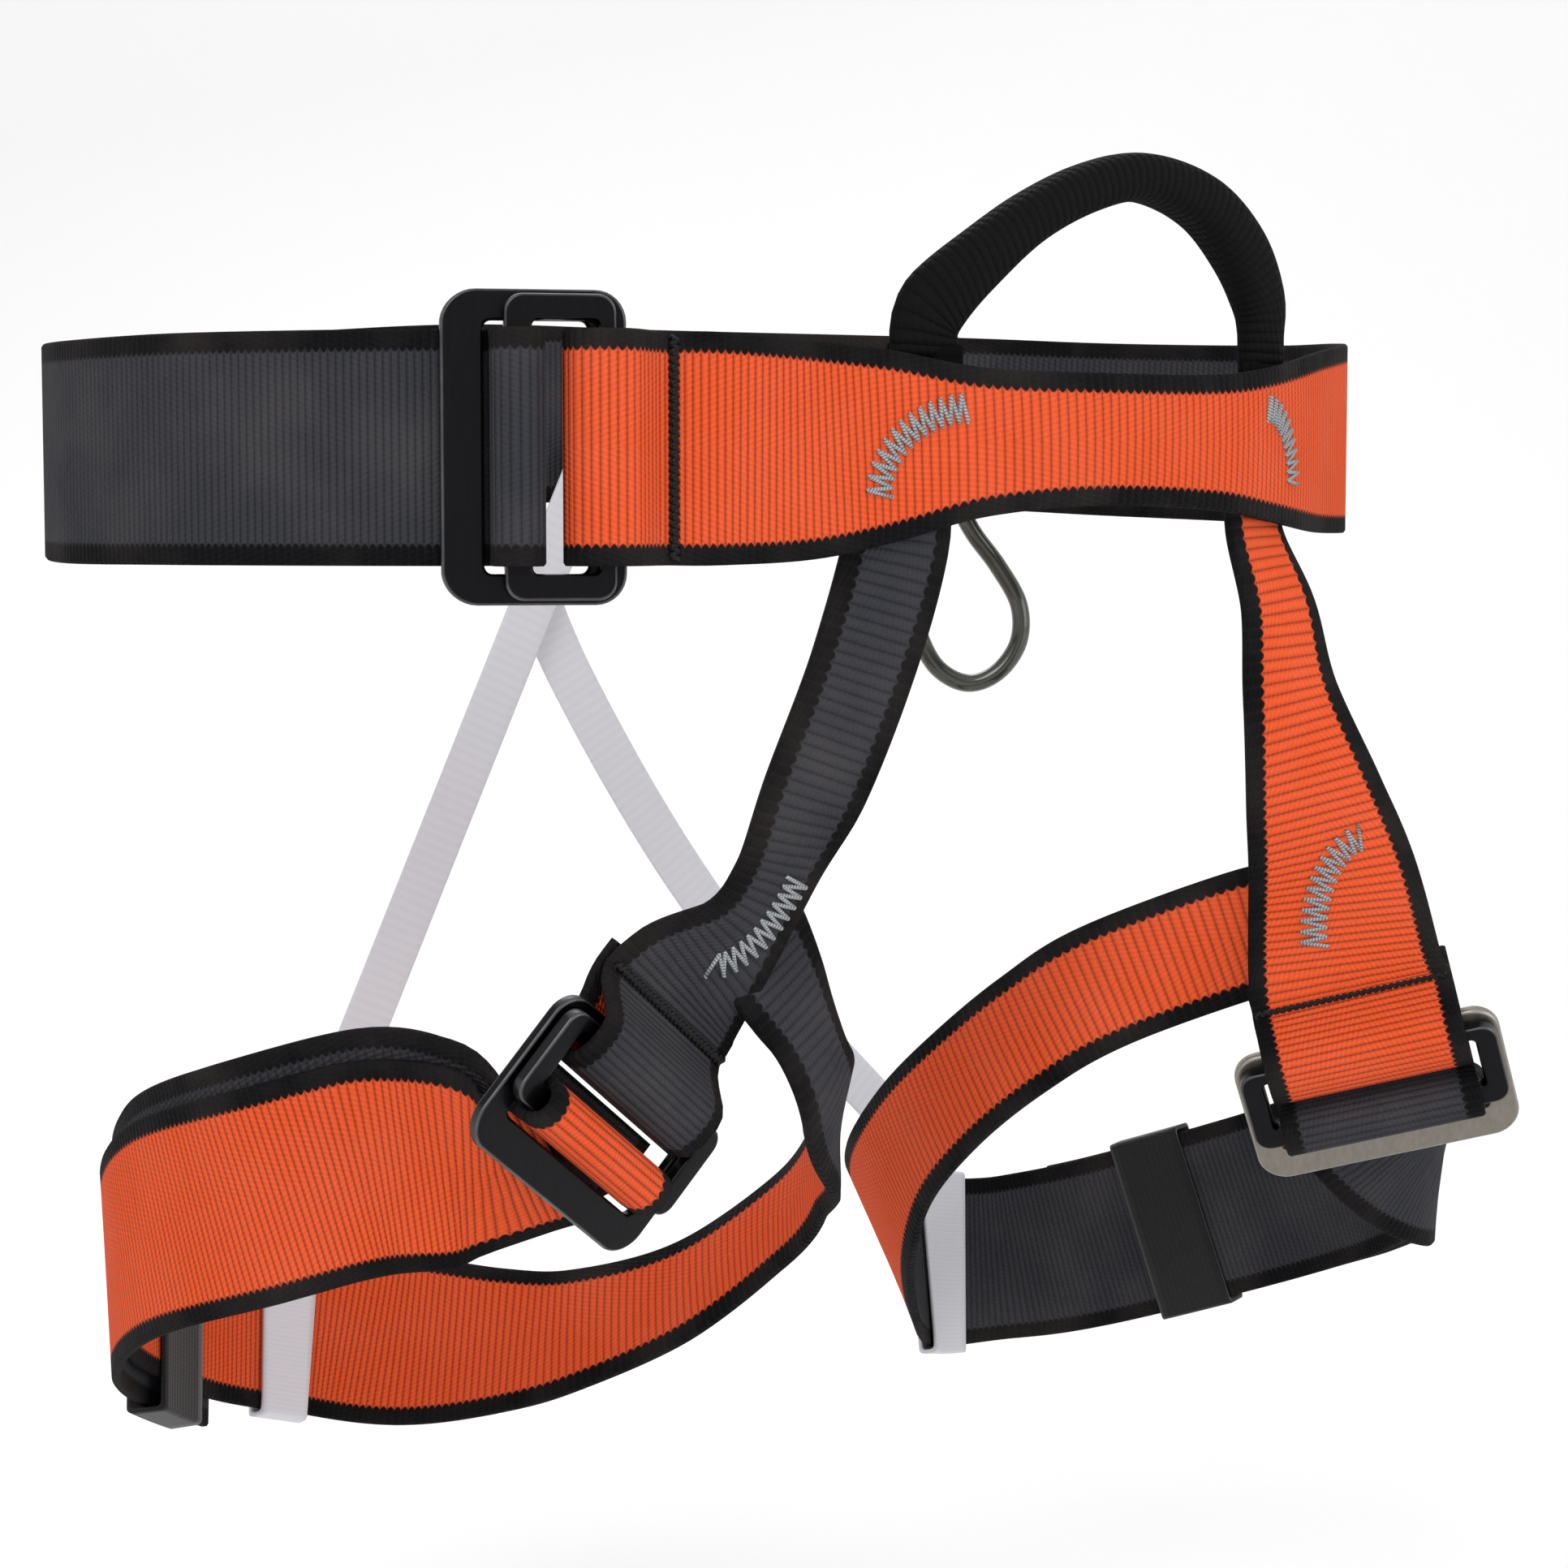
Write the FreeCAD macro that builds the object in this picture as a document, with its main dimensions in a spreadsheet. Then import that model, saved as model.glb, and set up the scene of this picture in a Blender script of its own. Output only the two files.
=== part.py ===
"""Sit harness for climbing: waist belt, tie-in loop, two leg loops, three double-back buckles.

Millimetres, +Z up, the wearer faces -Y, so +X is the wearer's left.  The origin is the
middle of the waist ring.  Names say "right" and "left" as the wearer would.
"""
import FreeCAD, Part
import Sketcher
import math
import os
from FreeCAD import Matrix, Placement, Vector

doc = FreeCAD.newDocument("harness")
sheet = doc.addObject("Spreadsheet::Sheet", "Sizes")
SIZES = [
    ("web_width", 45.0, "full width of the webbing"),
    ("web_thick", 2.2, "thickness of the webbing"),
    ("ring_side", 157.5, "half the waist ring across the hips"),
    ("ring_front", 101.5, "half the waist ring front to back"),
    ("layer_step", 2.7, "one webbing layer to the next, middle to middle"),
    ("plate_thick", 2.5, "buckle rear plate, thickness"),
    ("plate_under", 5.4, "underside of the rear plate above the strap's inner face"),
    ("plate_back", 4.0, "rear plate, sewn bar's far edge from the pivot"),
    ("plate_reach", 33.0, "rear plate, pivot to the wide bar's edge"),
    ("plate_half", 30.0, "rear plate, half its length across the webbing"),
    ("plate_bulge", 2.5, "bow of the wide bar's outer edge"),
    ("plate_bar", 3.4, "rear plate, pivot to the near edge of its window"),
    ("plate_window", 23.4, "rear plate, pivot to the far edge of its window"),
    ("frame_thick", 3.0, "buckle front frame, thickness"),
    ("frame_under", 8.4, "underside of the front frame"),
    ("frame_back", 1.6, "front frame, half the pivot bar"),
    ("frame_reach", 19.8, "front frame, pivot to its outer edge"),
    ("frame_half", 29.0, "front frame, half its length"),
    ("frame_window", 14.5, "front frame, pivot to the far edge of its window"),
    ("window_half", 24.0, "half length of both windows"),
    ("eye_middle", 2.8, "sewn eye, centre of its round end from the pivot"),
    ("eye_radius", 3.45, "sewn eye, inner radius of its round end"),
    ("eye_high", 8.45, "sewn eye, height of its centre"),
    ("eye_stitch", 12.0, "pivot to the stitch line that closes the eye"),
    ("eye_tail", 17.5, "pivot to the end of the turned-back webbing"),
    ("fold_middle", 17.1, "fold over the frame bar, centre from the pivot"),
    ("fold_radius", 3.0, "fold, inner radius"),
    ("fold_high", 10.2, "fold, height of the round part's centre"),
    ("fold_strap_foot", 2.6, "fold, lower end of the leg on the strap side"),
    ("fold_tail_foot", 5.3, "fold, lower end of the leg on the tail side"),
    ("keeper_wide", 20.0, "elastic keeper, length along the strap"),
    ("band_wide", 15.0, "white elastic band round the leg strap"),
    ("sleeve_wall", 1.0, "keepers and bands, wall"),
    ("sleeve_gap", 1.3, "keepers, room round the webbing"),
    ("band_gap", 2.6, "white bands, room round the curved webbing"),
    ("elastic_width", 12.5, "rear elastic strap, width"),
    ("elastic_thick", 1.0, "rear elastic strap, thickness"),
    ("gear_tube", 4.8, "gear loop, tube diameter"),
    ("thread_thick", 0.4, "height of stitching above the webbing"),
    ("tack_width", 4.5, "bar tack, width"),
]
for row, (alias, value, note) in enumerate(SIZES, start=1):
    sheet.set(f"A{row}", alias)
    sheet.set(f"B{row}", str(value))
    sheet.set(f"C{row}", note)
    sheet.setAlias(f"B{row}", alias)
doc.recompute()


def size(alias):
    """The value of one named size."""
    return float(sheet.get(alias))


WEB = size("web_width")
THICK = size("web_thick")
STEP = size("layer_step")
parts = []


# ---- helpers: webbing as a ribbon through stations ------------------------------------

def smooth(rows, step):
    """Rows of numbers made denser with a Catmull-Rom curve, `step` samples per span."""
    dense = []
    last = len(rows) - 1
    for i in range(last):
        before = rows[max(i - 1, 0)]
        start = rows[i]
        end = rows[i + 1]
        after = rows[min(i + 2, last)]
        for k in range(step):
            f = k / step
            dense.append([
                0.5 * (2 * b + (c - a) * f + (2 * a - 5 * b + 4 * c - d) * f * f
                       + (3 * b - a - 3 * c + d) * f ** 3)
                for a, b, c, d in zip(before, start, end, after)
            ])
    dense.append(list(rows[last]))
    return dense


class Webbing:
    """A band of webbing through stations (x, y, z, across x, across y, across z, width)."""

    def __init__(self, stations, step=4):
        rows = smooth([list(s) for s in stations], step)
        self.middle = [Vector(*r[:3]) for r in rows]
        self.width = [r[6] for r in rows]
        self.across = []
        self.out = []
        self.along = []
        for i, r in enumerate(rows):
            ahead = self.middle[min(i + 1, len(rows) - 1)]
            behind = self.middle[max(i - 1, 0)]
            along = (ahead - behind).normalize()
            across = Vector(*r[3:6])
            across = (across - along * across.dot(along)).normalize()
            self.along.append(along)
            self.across.append(across)
            self.out.append(along.cross(across).normalize())

    def facing(self, point):
        """Turn the outer side away from `point`."""
        mid = len(self.middle) // 2
        if self.out[mid].dot(self.middle[mid] - Vector(*point)) < 0:
            self.out = [n * -1.0 for n in self.out]
        return self

    def count(self):
        return len(self.middle)

    def station(self, i, sideways=0.0, outward=0.0, width=None):
        """Station i again, moved sideways and outward, for a layer laid on this one."""
        p = self.middle[i] + self.across[i] * sideways + self.out[i] * outward
        a = self.across[i]
        return (p.x, p.y, p.z, a.x, a.y, a.z, width or self.width[i])

    def nearest(self, point):
        """Index of the station nearest a point."""
        target = Vector(*tuple(point))
        gaps = [(p - target).Length for p in self.middle]
        return gaps.index(min(gaps))

    def walk(self, i, run):
        """Station and part of a span reached by going `run` mm along from station i."""
        step = 1 if run >= 0 else -1
        left = abs(run)
        while 0 <= i + step < self.count() - 1 and left > (self.middle[i + step] - self.middle[i]).Length:
            left -= (self.middle[i + step] - self.middle[i]).Length
            i += step
        span = (self.middle[i + step] - self.middle[i]).Length
        if step > 0:
            return i, left / span
        return i - 1, 1 - left / span

    def placement(self, i):
        """Local frame at station i: x along the strap, y across it, z outward."""
        return frame_placement(self.middle[i], self.along[i], self.out[i])

    def solid(self, thick):
        """Closed solid: four smooth long edges, four faces between them and two ends."""
        corners = []
        for side, face in ((1, 1), (-1, 1), (-1, -1), (1, -1)):
            corners.append([
                p + a * (side * w / 2) + n * (face * thick / 2)
                for p, a, n, w in zip(self.middle, self.across, self.out, self.width)
            ])
        total = 0.0
        knots = [0.0]
        for p, q in zip(self.middle, self.middle[1:]):
            total += (q - p).Length
            knots.append(total)
        edges = []
        for line in corners:
            curve = Part.BSplineCurve()
            curve.interpolate(Points=line, Parameters=knots)
            edges.append(curve.toShape())
        faces = []
        for k in range(4):
            faces.append(Part.makeRuledSurface(edges[k], edges[(k + 1) % 4], 1))
        for end in (0, -1):
            ring = [line[end] for line in corners]
            faces.append(Part.Face(Part.makePolygon(ring + ring[:1])))
        shell = Part.makeShell(faces)
        shell.sewShape()
        body = Part.makeSolid(Part.Shell(shell.Faces))
        if body.Volume < 0:
            body.reverse()
        return body


def frame_placement(origin, along, out):
    """Placement with local x = along, z = out."""
    x = Vector(along).normalize()
    z = Vector(out)
    z = (z - x * z.dot(x)).normalize()
    y = z.cross(x)
    m = Matrix(x.x, y.x, z.x, origin.x,
               x.y, y.y, z.y, origin.y,
               x.z, y.z, z.z, origin.z,
               0, 0, 0, 1)
    return Placement(m)


def keep_feature(label, shape):
    """A node whose shape fits neither a sketch nor a primitive, such as twisted webbing."""
    feature = doc.addObject("Part::Feature", label)
    feature.Label = label
    feature.Shape = shape
    parts.append(feature)
    return feature


# ---- helpers: PartDesign bodies ---------------------------------------------------------

def new_body(label, place):
    body = doc.addObject("PartDesign::Body", label)
    body.Label = label
    body.Placement = place
    parts.append(body)
    return body


def sketch_on(body, role, name):
    """Sketch on one of the body's own origin planes."""
    sketch = body.newObject("Sketcher::SketchObject", name)
    plane = [f for f in body.Origin.OriginFeatures if f.Role == role][0]
    sketch.AttachmentSupport = [(plane, "")]
    sketch.MapMode = "FlatFace"
    return sketch


def closed_outline(sketch, corners):
    """Polygon whose corners are (x expression, y expression); each is bound to the sheet."""
    values = []
    for ex, ey in corners:
        values.append(Vector(evaluate(ex), evaluate(ey), 0))
    total = len(values)
    lines = []
    for i in range(total):
        lines.append(sketch.addGeometry(Part.LineSegment(values[i], values[(i + 1) % total])))
    for i in range(total):
        sketch.addConstraint(Sketcher.Constraint("Coincident", lines[i], 2, lines[(i + 1) % total], 1))
    for i, (ex, ey) in enumerate(corners):
        for kind, expression, value in (("DistanceX", ex, values[i].x), ("DistanceY", ey, values[i].y)):
            row = sketch.addConstraint(Sketcher.Constraint(kind, -1, 1, lines[i], 1, value))
            sketch.setExpression(f"Constraints[{row}]", expression)


def evaluate(expression):
    """Value of a sheet expression such as 'Sizes.web_width / 2'."""
    probe = doc.addObject("App::FeaturePython", "probe")
    probe.addProperty("App::PropertyFloat", "Value")
    probe.setExpression("Value", expression)
    probe.recompute()
    value = probe.Value
    doc.removeObject(probe.Name)
    return value


def pad(body, sketch, expression, both_ways=False, offset=None):
    feature = body.newObject("PartDesign::Pad", "Pad")
    feature.Profile = sketch
    feature.setExpression("Length", expression)
    feature.Midplane = both_ways
    if offset:
        sketch.setExpression("AttachmentOffset.Base.z", offset)
    sketch.Visibility = False
    body.Tip = feature
    return feature


def pocket_all(body, sketch):
    feature = body.newObject("PartDesign::Pocket", "Pocket")
    feature.Profile = sketch
    feature.Type = 1
    feature.Midplane = True
    sketch.Visibility = False
    body.Tip = feature
    return feature


def round_edges(body, radius, wanted):
    """Fillet the edges of the body's tip that `wanted` accepts."""
    doc.recompute()
    base = body.Tip
    names = [f"Edge{i}" for i, e in enumerate(base.Shape.Edges, start=1) if wanted(e)]
    feature = body.newObject("PartDesign::Fillet", "Fillet")
    feature.Base = (base, names)
    feature.Radius = radius
    body.Tip = feature
    return feature


def upright(edge):
    """True for an edge along the local z axis."""
    a = edge.Vertexes[0].Point
    b = edge.Vertexes[-1].Point
    return abs(a.x - b.x) < 1e-6 and abs(a.y - b.y) < 1e-6


# ---- one double-back buckle with its sewn eye and its fold --------------------------------

def rear_plate(label, place):
    body = new_body(label, place)
    outline = sketch_on(body, "XY_Plane", label + "_outline")
    closed_outline(outline, [
        ("-Sizes.plate_back", "-Sizes.plate_half"),
        ("Sizes.plate_reach - Sizes.plate_bulge", "-Sizes.plate_half"),
        ("Sizes.plate_reach", "-Sizes.plate_half * 0.45"),
        ("Sizes.plate_reach", "Sizes.plate_half * 0.45"),
        ("Sizes.plate_reach - Sizes.plate_bulge", "Sizes.plate_half"),
        ("-Sizes.plate_back", "Sizes.plate_half"),
    ])
    pad(body, outline, "Sizes.plate_thick", offset="Sizes.plate_under")
    window = sketch_on(body, "XY_Plane", label + "_window")
    closed_outline(window, [
        ("Sizes.plate_bar", "-Sizes.window_half"),
        ("Sizes.plate_window", "-Sizes.window_half"),
        ("Sizes.plate_window", "Sizes.window_half"),
        ("Sizes.plate_bar", "Sizes.window_half"),
    ])
    window.setExpression("AttachmentOffset.Base.z", "Sizes.plate_under")
    pocket_all(body, window)
    round_edges(body, 5.0, lambda e: upright(e) and abs(e.Vertexes[0].Point.y) > size("window_half") + 1)
    round_edges(body, 1.2, lambda e: upright(e) and abs(abs(e.Vertexes[0].Point.y) - size("window_half")) < 0.1)
    top = size("plate_under") + size("plate_thick")
    round_edges(body, 0.6, lambda e: min(v.Point.z for v in e.Vertexes) > top - 1e-4)
    return body


def front_frame(label, place):
    body = new_body(label, place)
    outline = sketch_on(body, "XY_Plane", label + "_outline")
    closed_outline(outline, [
        ("-Sizes.frame_back", "-Sizes.frame_half"),
        ("Sizes.frame_reach", "-Sizes.frame_half"),
        ("Sizes.frame_reach", "Sizes.frame_half"),
        ("-Sizes.frame_back", "Sizes.frame_half"),
    ])
    pad(body, outline, "Sizes.frame_thick", offset="Sizes.frame_under")
    window = sketch_on(body, "XY_Plane", label + "_window")
    closed_outline(window, [
        ("Sizes.frame_back", "-Sizes.window_half"),
        ("Sizes.frame_window", "-Sizes.window_half"),
        ("Sizes.frame_window", "Sizes.window_half"),
        ("Sizes.frame_back", "Sizes.window_half"),
    ])
    window.setExpression("AttachmentOffset.Base.z", "Sizes.frame_under")
    pocket_all(body, window)
    round_edges(body, 5.0, lambda e: upright(e) and abs(e.Vertexes[0].Point.y) > size("window_half") + 1
                and e.Vertexes[0].Point.x > 5)
    round_edges(body, 1.0, lambda e: not upright(e))
    return body


def eye_profile(sketch):
    """Side view of the sewn eye: flat on the strap, up and over both bars, back underneath."""
    middle, radius, high = size("eye_middle"), size("eye_radius"), size("eye_high")
    outer = radius + THICK
    over, under = high + radius, high - radius
    inner = [Vector(middle, over, 0), Vector(-3.6, over, 0), Vector(-size("eye_stitch") + 2, STEP + 0.1, 0),
             Vector(-size("eye_stitch") + 2, THICK, 0), Vector(-3.6, under - 0.4, 0), Vector(middle, under, 0)]
    skin = [Vector(middle, high - outer, 0), Vector(-3.6, under - 0.4 - THICK, 0),
            Vector(-size("eye_stitch"), 0, 0), Vector(-size("eye_tail"), 0, 0),
            Vector(-size("eye_tail"), THICK, 0), Vector(-size("eye_stitch") - 0.1, THICK, 0),
            Vector(-size("eye_stitch") - 0.1, STEP - 0.1 + THICK, 0),
            Vector(-4.4, over + THICK, 0), Vector(middle, high + outer, 0)]
    centre = Vector(middle, high, 0)
    z = Vector(0, 0, 1)
    for chain in (inner, skin):
        for a, b in zip(chain, chain[1:]):
            sketch.addGeometry(Part.LineSegment(a, b))
    first = sketch.addGeometry(Part.ArcOfCircle(Part.Circle(centre, z, radius), -math.pi / 2, math.pi / 2))
    second = sketch.addGeometry(Part.ArcOfCircle(Part.Circle(centre, z, outer), -math.pi / 2, math.pi / 2))
    for arc, name, expression, value in ((first, "inner", "Sizes.eye_radius", radius),
                                         (second, "outer", "Sizes.eye_radius + Sizes.web_thick", outer)):
        row = sketch.addConstraint(Sketcher.Constraint("Radius", arc, value))
        sketch.renameConstraint(row, name + "_radius")
        sketch.setExpression(f"Constraints.{name}_radius", expression)


def sewn_eye(label, place):
    body = new_body(label, place)
    side = sketch_on(body, "XZ_Plane", label + "_side")
    eye_profile(side)
    pad(body, side, "Sizes.web_width", both_ways=True)
    return body


def strap_fold(label, place):
    """The strap's turn over the front frame's bar: two legs joined by a half circle."""
    body = new_body(label, place)
    side = sketch_on(body, "XZ_Plane", label + "_side")
    middle, radius, high = size("fold_middle"), size("fold_radius"), size("fold_high")
    outer = radius + THICK
    near, far = size("fold_strap_foot"), size("fold_tail_foot")
    z = Vector(0, 0, 1)
    centre = Vector(middle, high, 0)
    corners = [
        (Vector(middle - radius, high, 0), Vector(middle - radius, near, 0)),
        (Vector(middle - radius, near, 0), Vector(middle - outer, near, 0)),
        (Vector(middle - outer, near, 0), Vector(middle - outer, high, 0)),
        (Vector(middle + outer, high, 0), Vector(middle + outer, far, 0)),
        (Vector(middle + outer, far, 0), Vector(middle + radius, far, 0)),
        (Vector(middle + radius, far, 0), Vector(middle + radius, high, 0)),
    ]
    for a, b in corners:
        side.addGeometry(Part.LineSegment(a, b))
    for r, name, expression in ((radius, "inner", "Sizes.fold_radius"),
                                (outer, "outer", "Sizes.fold_radius + Sizes.web_thick")):
        arc = side.addGeometry(Part.ArcOfCircle(Part.Circle(centre, z, r), 0, math.pi))
        row = side.addConstraint(Sketcher.Constraint("Radius", arc, r))
        side.renameConstraint(row, name + "_radius")
        side.setExpression(f"Constraints.{name}_radius", expression)
    pad(body, side, "Sizes.web_width", both_ways=True)
    return body


def buckle(name, place):
    """All the pieces that meet at one buckle; `place` is the strap's inner face below the pivot."""
    sewn_eye(name + "_sewn_eye", place)
    rear_plate(name + "_rear_plate", place)
    front_frame(name + "_front_frame", place)
    strap_fold(name + "_strap_fold", place)


def at_buckle(place, along, out, width=WEB, sideways=0.0, across=None):
    """Webbing station given in a buckle's own frame."""
    p = place.multVec(Vector(along, sideways, out))
    y = across or place.Rotation.multVec(Vector(0, 1, 0))
    return (p.x, p.y, p.z, y[0], y[1], y[2], width)


def sleeve(label, place, wide, layers, low_extra=0.0, room="Sizes.sleeve_gap"):
    """Flat elastic tube round one or more layers of webbing; local x runs along the strap.

    `low_extra` is how much further it reaches on the -y side, for a layer laid off centre.
    """
    body = new_body(label, place)
    outer = sketch_on(body, "YZ_Plane", label + "_outer")
    left = f"(-Sizes.web_width / 2 - {room} - {low_extra})"
    right = f"(Sizes.web_width / 2 + {room})"
    low = f"(-Sizes.web_thick / 2 - {room})"
    high = f"(Sizes.web_thick / 2 + {room} + {layers - 1} * Sizes.layer_step)"
    wall = "Sizes.sleeve_wall"
    closed_outline(outer, [
        (f"{left} - {wall}", f"{low} - {wall}"),
        (f"{right} + {wall}", f"{low} - {wall}"),
        (f"{right} + {wall}", f"{high} + {wall}"),
        (f"{left} - {wall}", f"{high} + {wall}"),
    ])
    pad(body, outer, wide, both_ways=True)
    inner = sketch_on(body, "YZ_Plane", label + "_inner")
    closed_outline(inner, [(left, low), (right, low), (right, high), (left, high)])
    pocket_all(body, inner)
    return body


def stitching(label, web, start, marks, outward):
    """Raised arc of thread on a band: marks are (mm along from station `start`, mm across)."""
    rows = []
    for run, sideways in marks:
        low, part = web.walk(start, run)
        a = web.station(low, sideways, outward)
        b = web.station(low + 1, sideways, outward)
        rows.append([p * (1 - part) + q * part for p, q in zip(a[:3], b[:3])] + [web.out[low]])
    stations = []
    for k, row in enumerate(rows):
        ahead = Vector(*rows[min(k + 1, len(rows) - 1)][:3])
        behind = Vector(*rows[max(k - 1, 0)][:3])
        across = row[3].cross((ahead - behind).normalize())
        stations.append(tuple(row[:3]) + (across.x, across.y, across.z, size("tack_width")))
    keep_feature(label, Webbing(stations, 2).solid(size("thread_thick")))


# ---- waist belt ------------------------------------------------------------------------
# Ring stations: (angle from the front, height of the middle, width, distance off the ring).
# The belt starts at its sewn eye, narrows at the tie-in point, goes round the wearer's left
# side and back, and ends under the buckle as the strap that is pulled through.
BELT = [
    (-27.5, 0, 45, 3.0), (-22, 0, 45, 3.8), (-15, 0, 43, 1.6), (-8, 1, 38, 0), (0, 2, 30, 0),
    (11, 3, 27.5, 0), (25, 3, 29, 0), (35, 3, 34, 0), (48, 4, 41, 0), (65, 6, 45, 3), (90, 8, 45, 3),
    (115, 10, 45, 0), (135, 12, 45, 0), (165, 13, 45, 0), (185, 13, 45, 0), (205, 9, 45, 0),
    (230, 4, 45, -1), (250, 1, 45, -3), (270, 0, 45, -4), (290, 0, 45, -2), (305, 0, 45, -0.5), (318, 0, 45, 0),
]
BUCKLE_ANGLE = -30.8


def on_ring(angle, height=0.0, off=0.0):
    """Point, outward direction and direction of travel on the waist ring."""
    s, c = math.sin(math.radians(angle)), math.cos(math.radians(angle))
    a, b = size("ring_side"), size("ring_front")
    out = Vector(s / a, -c / b, 0).normalize()
    point = Vector(a * s, -b * c, height) + out * off
    return point, out, Vector(a * c, b * s, 0).normalize()


def ring_station(angle, height, width, off=0.0):
    p, out, along = on_ring(angle, height, off)
    return (p.x, p.y, p.z, 0, 0, 1, width)


pivot, outward, travel = on_ring(BUCKLE_ANGLE, 0.0, -THICK / 2)
waist_place = frame_placement(pivot, travel * -1.0, outward)
buckle("waist", waist_place)
strap_end = at_buckle(waist_place, 11.9, THICK / 2)
eye_end = at_buckle(waist_place, -size("eye_stitch") - 0.2, STEP - 0.1 + THICK / 2)


def up(station):
    """The same station with its width straight up."""
    return tuple(station[:3]) + (0, 0, 1, station[6])


belt = Webbing([up(eye_end)] + [ring_station(a, h, w, off) for a, h, w, off in BELT[1:-1]]
               + [up(at_buckle(waist_place, u, n + THICK / 2)) for u, n in ((33, -0.9), (26, -0.2), (20.4, 0))]
               + [up(strap_end)]).facing((0, 0, 0))
keep_feature("waist_belt", belt.solid(THICK))
tail_rows = [up(at_buckle(waist_place, u, n + STEP + THICK / 2)) for u, n in ((20.4, 0), (26, -0.2), (33, -0.9))]
for angle, height, off in ((305, 0, -0.5), (290, 0, -2), (270, 0, -4), (250, 1, -3), (236, 3, -1.5), (222, 5, -0.5)):
    tail_rows.append(ring_station(angle, height, WEB, STEP + 0.3 + off))
waist_tail = Webbing(tail_rows).facing((0, 0, 0))
keep_feature("waist_tail", waist_tail.solid(THICK))

# ---- leg loops: buckle places ------------------------------------------------------------
right_place = frame_placement(Vector(-67, -67, -123), Vector(-0.63, 0.106, -0.77), Vector(0.185, -0.942, -0.281))
left_place = frame_placement(Vector(111, -93, -128), Vector(0.48, 0.207, -0.853), Vector(-0.507, -0.728, -0.462))
buckle("right_leg", right_place)
buckle("left_leg", left_place)

# ---- risers: bands from the belt down to the sewn eyes, each sewn behind the belt ----------
BEHIND = -STEP - 0.7    # a flat piece needs a little more room behind the curved belt


def riser_tab(label, angle, width, low, high, off):
    """The upper end of a band, sewn flat behind the belt."""
    rows = []
    for z in (high, (high + low) / 2, low):
        p, out, along = on_ring(angle, z, off)
        rows.append((p.x, p.y, p.z, along.x, along.y, 0, width))
    keep_feature(label, Webbing(rows, 2).facing((0, 0, 0)).solid(THICK))


riser_tab("right_riser_tab", -7, 24, -19.4, 10, BEHIND)
riser_tab("left_riser_tab", 35, 26, -15.4, 12, BEHIND)
riser_tab("right_tie_in_tab", -4, 18, -8, 21.6, BEHIND - STEP)
riser_tab("left_tie_in_tab", 38.5, 16, -8, 21.6, BEHIND - STEP)

right_top, _, right_along = on_ring(-7, -22.0, BEHIND)
right_riser = Webbing([
    (right_top.x, right_top.y, right_top.z, right_along.x, right_along.y, 0, 24),
    (right_top.x - 1.0, right_top.y + 0.2, right_top.z - 7, right_along.x, right_along.y, 0, 24),
    (-25, -94, -44, 0.95, -0.25, 0.2, 22.5),
    (-33, -88, -70, 0.97, -0.2, 0, 22.5),
    (-36.5, -80, -86, 0.97, 0.05, -0.2, 20.5),
    (-42.5, -76, -98, 0.94, 0.08, -0.32, 23.5),
    at_buckle(right_place, -size("eye_stitch") - 7, STEP + 0.1 + THICK / 2, 43),
    at_buckle(right_place, -size("eye_stitch") - 3, STEP - 0.1 + THICK / 2),
    at_buckle(right_place, -size("eye_stitch") - 0.2, STEP - 0.1 + THICK / 2),
]).facing((-60, 0, -100))
keep_feature("right_riser", right_riser.solid(THICK))

left_top, _, left_along = on_ring(35, -18.8, BEHIND)
left_riser = Webbing([
    (left_top.x, left_top.y, left_top.z, left_along.x, left_along.y, 0, 26),
    (left_top.x, left_top.y, left_top.z - 6, left_along.x, left_along.y, 0, 26),
    (92, -85, -33, 0.93, 0.1, 0, 23),
    (94, -87, -52, 0.93, -0.15, 0, 24),
    (99, -90, -76, 0.87, -0.4, 0.1, 32),
    (102, -93, -94, 0.8, -0.55, 0.15, 38),
    at_buckle(left_place, -size("eye_stitch") - 9, STEP + 0.1 + THICK / 2, 43),
    at_buckle(left_place, -size("eye_stitch") - 4, STEP - 0.1 + THICK / 2),
    at_buckle(left_place, -size("eye_stitch") - 0.2, STEP - 0.1 + THICK / 2),
]).facing((115, 0, -100))
keep_feature("left_riser", left_riser.solid(THICK))

# ---- leg straps: sewn behind the riser, round the thigh, into the buckle --------------------
right_y = right_place.Rotation.multVec(Vector(0, -1, 0))
right_strap = Webbing([
    (-39, -71.6, -96, 0.8, -0.15, 0.55, 25),
    (-26, -70, -115, 0.95, 0.28, 0, 24),
    (-17, -69, -133, 0.82, 0.55, 0, 24),
    (-5, -52, -148, 0.53, 0.85, 0, 24),
    (8, -28, -160, 0.4, 0.85, 0.3, 24),
    (14, -2, -177, 0.3, 0.8, 0.45, 26),
    (5, 30, -200, 0.25, 0.75, 0.6, 28),
    (-11, 56, -213, 0.3, 0.6, 0.75, 33),
    (-24, 71, -217, 0.3, 0.5, 0.8, 38),
    (-43, 85, -217, 0.2, 0.4, 0.9, 43),
    (-65, 93, -212, 0.1, 0.4, 0.9, 45),
    (-94, 86, -202, 0, 0.3, 0.95, 45),
    (-120, 64, -186, 0, 0.2, 1, 45),
    (-133, 38, -172, 0, 0.1, 1, 45),
    (-136, 10, -158, 0, 0, 1, 45),
    (-127, -20, -147, -0.1, 0, 1, 45),
    (-107, -38, -139.5, -0.1, 0, 1, 45),
    (-96, -52.5, -139.5, -0.25, -0.1, 0.95, 45),
    at_buckle(right_place, 26, -3.4, WEB, -2.5, across=(-0.66, -0.32, 0.66)),
    at_buckle(right_place, 19, THICK / 2 - 0.5, across=right_y),
    at_buckle(right_place, 11.9, THICK / 2, across=right_y),
]).facing((-60, 0, -160))
keep_feature("right_leg_strap", right_strap.solid(THICK))

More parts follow.
